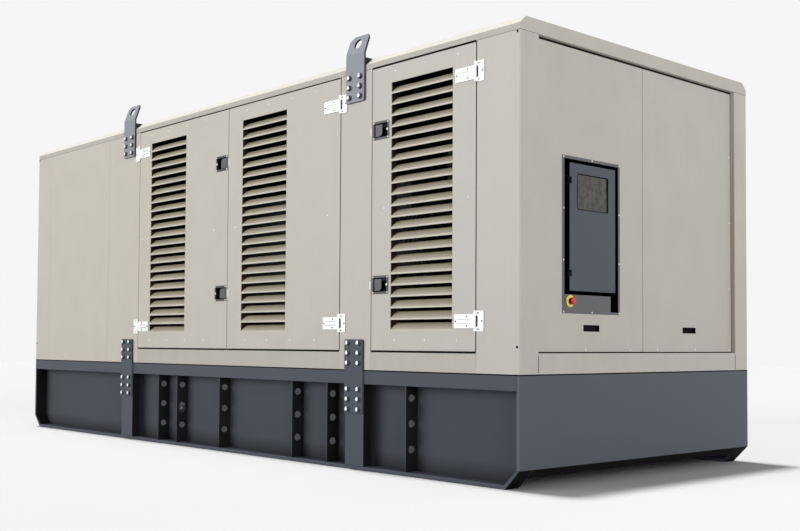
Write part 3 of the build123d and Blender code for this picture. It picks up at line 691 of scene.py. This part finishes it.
for name, colour in seam_colours.items():
    paints[name] = dict(colour=colour, roughness=0.7, mottle=0.1, specular=0.2)
looks = {name: finish_look(name, **paint) for name, paint in paints.items()}
node_looks = {"base_webs": "web_paint", "control_door": "control_blue", "sills": "sill_paint",
              "flush_pulls": "seal_and_shade_black", "roof": "roof_paint", "base_end_plates": "end_plate_paint"}


def soften(node, name):
    """Round the edges of a carried-over solid."""
    width = edges.get(name, usual_edge)
    if any(word in name for word in small_nodes):
        width = small_edge
    mesh = node.data
    if "custom_normal" in mesh.attributes:
        mesh.attributes.remove(mesh.attributes["custom_normal"])
    mesh.shade_smooth()
    weld = node.modifiers.new("weld", "WELD")
    weld.merge_threshold = weld_distance
    flat = node.modifiers.new("flat", "DECIMATE")
    flat.decimate_type = "DISSOLVE"
    flat.angle_limit = radians(flat_angle)
    flat.delimit = {"MATERIAL"}
    bevel = node.modifiers.new("edges", "BEVEL")
    bevel.width = width
    bevel.segments = edge_segments
    bevel.limit_method = "ANGLE"
    bevel.angle_limit = radians(edge_angle)
    normals = node.modifiers.new("normals", "WEIGHTED_NORMAL")
    normals.weight = normal_weight


def dress_nodes():
    """Give every carried-over solid its finish and soft edges."""
    for part in frame["record"]["subparts"]:
        name = part["node"]
        mesh = nodes[name].data
        mesh.materials.clear()
        mesh.materials.append(looks[node_looks.get(name, part["material_slot"])])
        soften(nodes[name], name)


def second_look(name, look, chosen):
    """Give the faces of a node that a rule chooses by normal and middle a second finish."""
    mesh = nodes[name].data
    mesh.materials.append(looks[look])
    for face in mesh.polygons:
        if chosen(face.normal, face.center):
            face.material_index = 1


def dress_two_tone():
    """Second finishes of flanks, undersides, rims, jambs and hinge edges; all but the sill ends, the rib fronts
    and the latch rims are painted shade.
    """
    def flank(normal, middle):
        return abs(normal.x) > facing_share

    def front_edge(normal, middle):
        return abs(normal.y) > facing_share

    def under_or_inner(normal, middle):
        return normal.z < -under_share or normal.x * middle.x < -inner_share

    def rim(normal, middle):
        return abs(normal.x) < facing_share

    def jamb(normal, middle):
        return normal.y * middle.y < -facing_share and abs(middle.x) > panel_high.x - small_edge

    def hinge_edge(normal, middle):
        return normal.x > facing_share

    # The jambs of the end recesses are painted a darker brown as shade
    second_look("corner_posts", "jamb_painted_shade", jamb)
    # The +X edge faces of the second and third door leaves, seen in the hinge gaps, are painted brown as shade
    for name in ("door_2_leaf", "door_3_leaf"):
        second_look(name, "seam_and_shade_brown", hinge_edge)
    # The flanks of the lifting posts are painted as shade
    second_look("base_lifting_posts", "flank_painted_shade", flank)
    second_look("base_ribs", "web_paint", front_edge)
    # The edge faces of the control door are painted black as the shade of the recess round it
    second_look("control_door", "control_black", rim)
    # Undersides and inner faces of the base end plates and skid flanges are painted black as shade
    second_look("base_end_plates", "seal_and_shade_black", under_or_inner)
    second_look("base_skid_flanges", "seal_and_shade_black", under_or_inner)
    # The ends of the sills keep the canopy paint, without the painted shade of their fronts
    second_look("sills", "canopy_paint", flank)
    for name in ("door_1_latches", "door_3_latches", "far_latches"):
        low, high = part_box(name)
        front = max(abs(low.y), abs(high.y)) - small_edge
        second_look(name, "latch_rim", lambda normal, middle: abs(middle.y) > front)


# Fasteners

def rivet(shape, place, direction, radius=rivet_radius, height=rivet_height):
    """Low domed head."""
    shape.add(turned(scaled(rivet_shares, radius, height), place, direction))


def screw(shape, place):
    """Pan-head screw of the photographed side, in the third finish of its piece."""
    shape.add(turned(scaled(screw_shares, screw_radius, screw_height), place, out_of_side), mark=2)


def bolt(shape, place, direction, washer=washer_radius):
    """Hexagon bolt on a washer painted dark as shade; its facets turned towards the shade side are painted dark as
    shade, the others bright.
    """
    crown = washer_height + bolt_height
    shape.add(turned(scaled(washer_shares, washer, washer_height), place, direction), mark=1)
    profile = [(bolt_radius, washer_height), (bolt_radius, crown - bolt_chamfer),
               (bolt_radius * bolt_crown_share, crown)]
    points, faces = turned(profile, place, direction, bolt_sides)
    marks = []
    for face in faces:
        middle = sum((Vector(points[corner]) for corner in face), Vector()) / len(face)
        in_shade = (middle - Vector(place)).dot(Vector(bolt_shade)) > bolt_radius * bolt_shade_share
        marks.append(1 if in_shade else 0)
    shape.add((points, faces), marks)


def make_rivets():
    """White rivets of the doors and the end panels."""
    for door in doors:
        left, right = door_side_rivets[door.name]
        middle = (door.low.z + door.high.z) / 2
        places = [(door.low.x + left, middle), (door.high.x - right, middle)]
        x = door.low.x + door_rivet_starts[door.name]
        while x < door.high.x - door_rivet_rise:
            places += [(x, door.low.z + door_rivet_rise), (x, door.high.z - door_rivet_drop)]
            x += door_rivet_pitch
        shape = Shape()
        for x, z in places:
            rivet(shape, (x, side_face, z), out_of_side)
        shape.finish_both(f"{door.name}_rivets", door.name, "zinc", ["rivet_white"])
    for panels, out in (("control_end_panels", 1), ("radiator_end_panels", -1)):
        low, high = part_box(panels)
        face = high.x if out > 0 else low.x
        width = high.y - low.y
        places = [(share, end_rivet_rise) for share in end_rivet_shares]
        places += [(end_rivet_shares[-1], rise) for rise in jamb_rivet_rises]
        shape = Shape()
        for share, rise in places:
            rivet(shape, (face, low.y + share * width, low.z + rise), (out, 0, 0))
        shape.finish(f"{panels}_rivets", "root", "zinc", ["rivet_white"])


def make_bolts():
    """Bolts of the lifting lugs and the tie plates."""
    steps = [step * bolt_pitch for step in range(bolt_rows)]
    lug_rows = [fascia_bottom - lug_bolt_drop - step for step in steps]
    tie_rows = [tie_high.z - tie_bolt_inset - step for step in steps]
    tie_rows += [tie_low.z + tie_bolt_inset + step for step in steps]
    lug_front = side_face - lug_thickness
    for name, front, rows in (("lug_bolts", lug_front, lug_rows), ("tie_bolts", tie_low.y, tie_rows)):
        shape = Shape()
        for x in lug_places:
            for column in around(x, bolt_spacing):
                for z in rows:
                    bolt(shape, (column, front, z), out_of_side)
        shape.finish_both(name, "root", "zinc", ["zinc", "bolt_painted_shade"])


def make_plugs():
    """Black plugs beside the corner edge of the long sides."""
    shape = Shape()
    for end in (-1, 1):
        x = end * (post_high.x - plug_inset)
        for z in (sill_top + plug_rise, fascia_bottom - plug_drop):
            rivet(shape, (x, side_face, z), out_of_side, plug_radius, plug_height)
    shape.finish_both("corner_plugs", "root", "black_paint", ["seal_and_shade_black"])


def bent(x, rise, depth):
    """Point of a lug: a place along the side, a rise along the bent plate and a depth behind its front."""
    turn = radians(lug_lean) * min(1.0, max(0.0, (rise - lug_straight) / lug_bend_length))
    beyond = max(0.0, rise - lug_straight - lug_bend_length)
    z = min(rise, lug_straight) + lug_bend_radius * sin(turn) + beyond * cos(turn) - depth * sin(turn)
    y = lug_bend_radius * (1 - cos(turn)) + beyond * sin(turn) + depth * cos(turn)
    return Vector((x, side_face - lug_thickness + y, fascia_bottom - lug_foot + z))


def lug_strip(shape, x):
    """Lower part of a lug, from its foot through the bend."""
    rows = [(0, lug_foot_corner), (lug_foot_corner, 0), (lug_straight, 0)]
    for step in range(1, lug_bend_steps + 1):
        rows.append((lug_straight + lug_bend_length * step / lug_bend_steps, 0))
    rings = []
    for rise, inset in rows:
        reach = lug_width / 2 - inset
        rings.append([bent(x + along, rise, depth) for along, depth in (
            (-reach, lug_thickness), (-reach, plate_chamfer), (plate_chamfer - reach, 0),
            (reach - plate_chamfer, 0), (reach, plate_chamfer), (reach, lug_thickness))])
    points, faces = lofted(rings)
    count = len(rings[0])
    # The side faces of the strip are painted dark as shade
    side_places = (0, count - 2)
    shape.add((points, faces), [1 if place % count in side_places else 0 for place in range(len(faces))])


def lug_eye(shape, x):
    """Upper part of a lug: cut corners round the shackle hole."""
    low = lug_straight + lug_bend_length
    tip = lug_straight + lug_reach
    half = lug_width / 2
    front_run, front_rise = lug_front_corner
    rear_run, rear_rise = lug_rear_corner
    outline = [(-half, low), (half, low), (half, tip - rear_rise), (half - rear_run, tip),
               (front_run - half, tip), (-half, tip - front_rise)]
    middle = tip - lug_hole_drop
    outer = []
    inner = []
    for place, start in enumerate(outline):
        end = outline[(place + 1) % len(outline)]
        for step in range(lug_eye_steps):
            share = step / lug_eye_steps
            along = start[0] + (end[0] - start[0]) * share
            rise = start[1] + (end[1] - start[1]) * share
            away = Vector((along, rise - middle)).normalized() * lug_hole_radius
            outer.append((along, rise))
            inner.append((away.x, middle + away.y))
    rings = [[bent(x + along, rise, depth) for along, rise in ring]
             for ring, depth in ((outer, 0), (inner, 0), (inner, lug_thickness), (outer, lug_thickness))]
    points, faces = lofted(rings, looped=True)
    count = len(outer)
    # The wall of the hole and the outer rim are painted dark as shade
    shape.add((points, faces), ([0] * count + [1] * count) * 2)


def make_lugs():
    """Lifting lugs with a smooth bend in place of the plainer ones; their edges are painted dark as shade."""
    shape = Shape()
    for x in lug_places:
        lug_strip(shape, x)
        lug_eye(shape, x)
    shape.finish_both("bent_lugs", "root", "lug_paint", ["lug_paint", "lug_edge_painted_shade"], ["lifting_lugs"])


def make_tie_plates():
    """Tie plates with round corners and a black edge on their +X side above the base, painted as shade."""
    shape = Shape()
    for x in lug_places:
        x_low, x_high = around(x, lug_width)
        plate(shape, (x_low, x_high), (tie_low.z, tie_high.z), tie_low.y, side_face, tie_corner, edge_mark=0)
        # Black strip on the +X edge of each plate, painted as shade
        edge_low = (x_high, tie_low.y + tie_edge, base_top)
        edge_high = (x_high + tie_edge, side_face, tie_high.z - tie_corner)
        shape.add(bar(edge_low, edge_high, 0, 1, tie_edge / 2), mark=1)
    finishes = ["bracket_paint", "black_paint"]
    shape.finish_both("tie_plate_faces", "root", "bracket_paint", finishes, ["tie_plates"])


def make_rib_bolts():
    """Bolt with a dark washer in the middle hole of one rib on each side."""
    low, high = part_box("base_ribs")
    vertices = nodes["base_ribs"].data.vertices
    rib_sides = sorted({round(vertex.co.x, rib_place_digits) for vertex in vertices})
    place = (rib_sides[2 * bolted_rib + 1], (web_face + side_face) / 2, (low.z + high.z) / 2)
    shape = Shape()
    bolt(shape, place, out_of_end, rib_washer_radius)
    shape.finish_both("rib_bolt", "root", "zinc", ["zinc", "bolt_painted_shade"])


def make_frame_screws():
    """White screws round the control frame."""
    low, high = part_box("control_frame")
    middle = (low.y + high.y) / 2
    left = low.y + frame_screw_inset
    right = high.y - frame_screw_inset
    foot = low.z + frame_screw_inset
    head = high.z - frame_screw_inset
    places = [(middle, foot), (middle, head)]
    for step in range(frame_screw_rows):
        z = foot + (head - foot) * step / (frame_screw_rows - 1)
        places += [(left, z), (right, z)]
    shape = Shape()
    for y, z in places:
        rivet(shape, (high.x, y, z), out_of_end)
    shape.finish("control_frame_screws", "root", "zinc", ["rivet_white"])


# Hinges and latches

def plate(shape, x_ends, z_ends, front, back, corner=strap_corner, edge_mark=2):
    """Flat plate on the photographed side: round corners, a cut front edge and its own finish on the rim, which on
    the hinges is dark as painted shade.
    """
    x_middle = (x_ends[0] + x_ends[1]) / 2
    z_middle = (z_ends[0] + z_ends[1]) / 2
    size_x = abs(x_ends[1] - x_ends[0])
    size_z = abs(z_ends[1] - z_ends[0])
    rings = []
    for y, inset in ((back, 0), (front + plate_chamfer, 0), (front, plate_chamfer)):
        outline = rounded_outline(size_x - 2 * inset, size_z - 2 * inset, corner - inset)
        rings.append([(x_middle + along, y, z_middle + up) for along, up in outline])
    points, faces = lofted(rings)
    count = len(rings[0])
    shape.add((points, faces), [edge_mark] * count + [0] * (len(faces) - count))


def knuckle(shape, axis, z_low, z_high, radius):
    """Upright barrel with rounded ends."""
    tall = z_high - z_low
    profile = [(radius - knuckle_round, 0), (radius, knuckle_round), (radius, tall - knuckle_round),
               (radius - knuckle_round, tall)]
    shape.add(turned(profile, (axis.x, axis.y, z_low), (0, 0, 1), knuckle_sides))


def hinge_tab(shape, door, side, z_ends):
    """Neck between a hinge plate and its knuckle."""
    x_ends = sorted((door.axis.x, door.axis.x + side * (knuckle_radius + leaf_clearance + plate_chamfer)))
    side_bar(shape, x_ends, z_ends, door.axis.y, side_face - strap_thickness / 2, plate_chamfer)


def strap_leaf(door):
    """Strap leaves of one door with their middle knuckles, beads and screws."""
    shape = Shape()
    front = side_face - strap_thickness
    x_near = door.axis.x + door.away * (knuckle_radius + leaf_clearance)
    bead_ends = sorted((x_near + door.away * bead_margin, door.strap_end - door.away * bead_margin))
    for z in door.hinge_heights:
        plate(shape, (x_near, door.strap_end), around(z, strap_height), front, side_face)
        # Beads in a darker grey, painted as the shade along the pressed ribs
        for z_bead in around(z, bead_spacing):
            z_ends = around(z_bead, bead_width)
            side_bar(shape, bead_ends, z_ends, front - bead_height, front, bead_height / 2, mark=1)
        neck = around(z, neck_height)
        hinge_tab(shape, door, door.away, neck)
        knuckle(shape, door.axis, *neck, knuckle_radius)
        screw(shape, (door.strap_end - door.away * strap_end_screw, front, z))
        for z_screw in (z - strap_screw_rise, z + strap_screw_rise):
            screw(shape, (x_near + door.away * strap_root_screws, front, z_screw))
    return shape


def frame_leaf(door):
    """Post leaves of one door's hinges with their outer knuckles, pin, a black strip painted as the shade of the
    slot beside the middle knuckle, and screws.
    """
    shape = Shape()
    front = side_face - strap_thickness
    x_near = door.axis.x - door.away * (knuckle_radius + leaf_clearance)
    x_far = x_near - door.away * hinge_leaf_width
    x_shade_strip = sorted(door.axis.x - door.away * reach for reach in (shade_strip_start, shade_strip_start + shade_strip_width))
    for z in door.hinge_heights:
        z_low, z_high = around(z, hinge_leaf_height)
        neck = around(z, neck_height + 2 * knuckle_gap)
        plate(shape, (x_near, x_far), (z_low, z_high), front, side_face)
        for ends in ((z_low, neck[0]), (neck[1], z_high)):
            hinge_tab(shape, door, -door.away, ends)
            knuckle(shape, door.axis, *ends, knuckle_radius)
        knuckle(shape, door.axis, *neck, pin_radius)
        side_bar(shape, x_shade_strip, neck, front - shade_strip_proud, front, shade_strip_chamfer, mark=3)
        screw(shape, (x_far + door.away * leaf_end_screw, front, z))
        for z_screw in (z - leaf_screw_rise, z + leaf_screw_rise):
            screw(shape, (x_near - door.away * leaf_root_screws, front, z_screw))
    return shape


def make_hinges():
    """Strap hinges of both long sides."""
    # The plate rims share the dark finish of the screws as painted shade; the beads' grey and the strip's black
    # are painted shade too
    finishes = ["zinc", "zinc_shade", "screw_dark_and_rim_shade", "black_paint"]
    for door in doors:
        first = door is doors[0]
        strap_leaf(door).finish_both(f"{door.name}_straps", door.name, "zinc", finishes,
                                     [f"{door.name}_hinges"], ["far_hinges"] if first else [])
        frame_leaf(door).finish_both(f"{door.name}_post_leaves", "root", "zinc", finishes,
                                     ["frame_hinge_leaves"] if first else [])


def make_latch_trim():
    """Rivets and locks of the latches, and the strikers beside them."""
    for door in doors:
        if not door.has_latch:
            continue
        trim = Shape()
        front = door.latch_low.y
        x_lock = door.latch_high.x if door.away < 0 else door.latch_low.x
        lock_middle = x_lock + door.away * lock_inset
        for z in door.latch_heights:
            for z_rivet in around(z, latch_height - 2 * latch_rivet_inset):
                for x in (door.latch_low.x + latch_rivet_inset, door.latch_high.x - latch_rivet_inset):
                    rivet(trim, (x, front, z_rivet), out_of_side)
            rivet(trim, (lock_middle, front, z), out_of_side, lock_radius, lock_height)
        trim.finish_both(f"{door.name}_latch_trim", door.name, "zinc", ["rivet_white"])
        strikers = Shape()
        if door.away > 0:
            x_low = doors[1].low.x
            body = doors[1].name
        else:
            x_low = wall_high.x - striker_width
            body = "root"
        for z in door.latch_heights:
            side_bar(strikers, (x_low, x_low + striker_width), around(z, striker_height),
                     side_face - striker_depth, side_face, striker_depth / 2)
        strikers.finish_both(f"{door.name}_strikers", body, "zinc", ["rivet_white"])


# Louvres

def blade_outline():
    """Section of a weather blade: an upright lip, then a crowned slope inward to its top edge."""
    outer = [(0, 0)]
    inner = [(blade_thickness, 0)]
    for step in range(blade_steps + 1):
        inward = step / blade_steps
        up = inward + blade_bulge_share * inward * (1 - inward)
        outer.append((blade_depth * inward, blade_lip + blade_rise * up))
        inner.append((blade_thickness + (blade_depth - blade_thickness) * inward,
                      blade_lip + (blade_rise - blade_thickness) * up))
    return outer + inner[::-1]


def bank(low, high, run_axis):
    """One bank of blades with cheeks behind its ends, finished dark red-brown as painted shade."""
    shape = Shape()
    in_axis = 1 - run_axis
    front = low[in_axis]
    pitch = (high.z - low.z - solid_blade_height) / (blade_count - 1)
    outline = blade_outline()
    for place in range(blade_count):
        z_blade = low.z + place * pitch
        rings = []
        for run in (low[run_axis], high[run_axis]):
            ring = []
            for inward, up in outline:
                point = Vector((0, 0, z_blade + up))
                point[run_axis] = run
                point[in_axis] = front + inward
                ring.append(point)
            rings.append(ring)
        shape.add(lofted(rings))
    for run, out in ((low[run_axis], -1), (high[run_axis], 1)):
        corner_low = Vector((0, 0, low.z))
        corner_high = Vector((0, 0, high.z))
        corner_low[run_axis], corner_high[run_axis] = sorted((run, run + out * cheek_thickness))
        corner_low[in_axis] = front + cheek_set_back
        corner_high[in_axis] = front + blade_depth
        shape.add(bar(corner_low, corner_high, run_axis, -out, cheek_chamfer), mark=1)
    return shape


def make_louvres():
    """Crowned blades in place of the plainer ones."""
    finishes = ["blade_paint", "louvre_cheek_painted_shade"]
    for door in doors:
        shape = bank(door.louvre_low, door.louvre_high, 0)
        shape.finish_both(f"{door.name}_blades", door.name, "canopy_paint", finishes,
                          [f"{door.name}_louvres"], ["far_louvres"] if door is doors[0] else [])
    low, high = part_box("radiator_end_louvres")
    width = doors[0].louvre_high.x - doors[0].louvre_low.x
    shape = bank(low, Vector((high.x, low.y + width, high.z)), 1)
    finishes = ["end_blade_paint", "louvre_cheek_painted_shade"]
    shape.finish_both("radiator_end_blades", "root", "canopy_paint", finishes, ["radiator_end_louvres"])


# Seals and seams

def side_strip(shape, x_ends, z_ends, set_back, depth):
    """Strip let into the face of the photographed side."""
    front = side_face + set_back
    side_bar(shape, x_ends, z_ends, front, front + depth, strip_chamfer)


def end_strip(shape, face, out, y_ends, z_ends, set_back, depth):
    """Strip let into a face of one end; out points out of that end."""
    x_front = face - out * set_back
    x_low, x_high = sorted((x_front, x_front - out * depth))
    shape.add(bar((x_low, y_ends[0], z_ends[0]), (x_high, y_ends[1], z_ends[1]), 0, out, strip_chamfer))


def make_seals():
    """Black seals over and under the doors and the end panels, and beside those panels; the black that reaches
    past the gaps onto the fascia, the sills and the panel tops is painted shade.
    """
    sides = Shape()
    for door in doors:
        x_ends = (door.low.x, door.high.x)
        over = (door.high.z + seal_clearance, fascia_bottom + seal_top_overlaps[door.name])
        under = (sill_top - seal_overlap, door.low.z - seal_clearance)
        for z_ends in (over, under):
            side_strip(sides, x_ends, z_ends, -seal_proud, seal_depth)
    sides.finish_both("door_seals", "root", "black_paint", ["seal_and_shade_black"])
    ends = Shape()
    for face, out in panel_faces:
        for z_ends in ((panel_high.z - seal_overlap, fascia_bottom), (sill_top, panel_low.z)):
            end_strip(ends, face, out, (panel_low.y, panel_high.y), z_ends, -seal_proud, seal_depth)
        for y_ends in ((panel_low.y, panel_low.y + seam_width), (panel_high.y - seam_width, panel_high.y)):
            end_strip(ends, face, out, y_ends, (panel_low.z, panel_high.z), -seal_proud, seam_depth)
    ends.finish("end_seals", "root", "black_paint", ["seal_and_shade_black"])


def make_seams():
    """Joint lines between the panels of the canopy."""
    sides = Shape()
    full = (base_top, fascia_bottom)
    low_part = (base_top, sill_top)
    short_part = (base_top + short_seam_inset, sill_top - short_seam_inset)
    top_line = around(fascia_bottom, seam_width)
    for x, z_ends in ((side_panel_low.x, full), (side_panel_high.x, full),
                      (doors[0].axis.x, low_part), (doors[1].axis.x, low_part),
                      (wall_high.x, low_part), (doors[2].axis.x, low_part)):
        side_strip(sides, around(x, seam_width), z_ends, seam_set_back, seam_depth)
    side_strip(sides, (post_low.x, post_high.x), top_line, seam_set_back, seam_depth)
    sides.finish_both("side_seams", "root", "canopy_paint", ["seam_and_shade_brown"])
    ends = Shape()
    for face, out in post_faces:
        for side in (-1, 1):
            y_seam = side * panel_high.y
            end_strip(ends, face, out, around(y_seam, short_seam_width), short_part, -seal_proud, seam_depth)
            y_ends = sorted((y_seam, side * post_high.y))
            end_strip(ends, face, out, y_ends, top_line, seam_set_back, seam_depth)
    ends.finish("end_seams", "root", "canopy_paint", ["seam_dark"])
    gaps = Shape()
    gap_depth = panel_high.x - panel_low.x - gap_set_back
    for face, out in panel_faces:
        end_strip(gaps, face, out, around(0, gap_width), (panel_low.z, panel_high.z), gap_set_back, gap_depth)
    gaps.finish("end_panel_gaps", "root", "canopy_paint", ["seam_pale"])


def make_base_lines():
    """Black line between the base and the canopy."""
    z_ends = (base_top, base_top + base_seam_height)
    sides = Shape()
    side_strip(sides, (post_low.x, post_high.x), z_ends, -seal_proud, seam_depth)
    sides.finish_both("base_line", "root", "black_paint", ["seal_and_shade_black"])
    ends = Shape()
    for face, out in post_faces:
        end_strip(ends, face, out, (post_low.y, post_high.y), z_ends, -seal_proud, seam_depth)
    ends.finish("end_base_lines", "root", "black_paint", ["seal_and_shade_black"])


# Control end

def make_stop():
    """Emergency stop: yellow disc, black collar and red mushroom head."""
    base_low, base_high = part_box("stop_button_base")
    head_low, head_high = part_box("stop_button")
    y = (base_low.y + base_high.y) / 2
    z = (base_low.z + base_high.z) / 2
    disc_radius = (base_high.z - base_low.z) / 2
    head_radius = (head_high.z - head_low.z) / 2
    seat = (base_low.x, y, z)
    base = Shape()
    disc = [(disc_radius, 0), (disc_radius, stop_disc_height - stop_round / 2),
            (disc_radius - stop_round, stop_disc_height), (stop_collar_radius, stop_disc_height)]
    base.add(turned(disc, seat, out_of_end, stop_disc_sides))
    collar_top = stop_disc_height + stop_collar_height
    collar = [(stop_collar_radius, stop_disc_height), (stop_collar_radius, collar_top - stop_round),
              (stop_collar_radius - stop_round, collar_top), (stop_stem_radius + stop_round, collar_top)]
    base.add(turned(collar, seat, out_of_end, stop_collar_sides), mark=1)
    base.finish("stop_base", "root", "stop_yellow", ["stop_yellow", "black_paint"], ["stop_button_base"])
    head = Shape()
    foot = (head_low.x, y, z)
    stem_length = head_high.x - head_low.x
    neck = base_high.x - head_low.x
    shoulder = (neck + stem_length) / 2
    dome = stem_length - shoulder
    stem = [(stop_stem_radius, 0), (stop_stem_radius, neck + stop_round)]
    head.add(turned(stem, foot, out_of_end, stop_stem_sides), mark=1)
    cap = [(stop_stem_radius, neck + stop_round), (head_radius - stop_round, shoulder - stop_round),
           (head_radius, shoulder)]
    for step in range(1, dome_steps):
        turn = pi / 2 * step / dome_steps
        cap.append((head_radius * cos(turn) ** dome_power, shoulder + dome * sin(turn)))
    cap.append((stop_round, stem_length))
    head.add(turned(cap, foot, out_of_end, stop_collar_sides))
    head.finish("stop_head", "stop_button", "stop_red", ["stop_red", "black_paint"], ["stop_button"])


def make_window_seal():
    """Dark seal round the control window."""
    low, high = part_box("control_window")
    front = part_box("control_door")[1].x + window_proud
    y = (low.y + high.y) / 2
    z = (low.z + high.z) / 2
    band = window_band / 2
    rings = []
    for x, inset in ((high.x, 0), (front, 0), (front, band), (high.x, band)):
        size_y = high.y - low.y - 2 * inset
        size_z = high.z - low.z - 2 * inset
        outline = rounded_outline(size_y, size_z, window_corner - inset)
        rings.append([(x, y + along, z + up) for along, up in outline])
    shape = Shape()
    shape.add(lofted(rings, looped=True))
    shape.finish("window_seal", "control_door", "control_black", ["seal_and_shade_black"])


make_camera()
make_world()
for name, sun in suns.items():
    make_sun(name, *sun)
make_floor()
dress_nodes()
dress_two_tone()
make_rivets()
make_bolts()
make_plugs()
make_lugs()
make_tie_plates()
make_rib_bolts()
make_frame_screws()
make_hinges()
make_latch_trim()
make_louvres()
make_seals()
make_seams()
make_base_lines()
make_stop()
make_window_seal()
bpy.context.scene.view_settings.view_transform = "Standard"
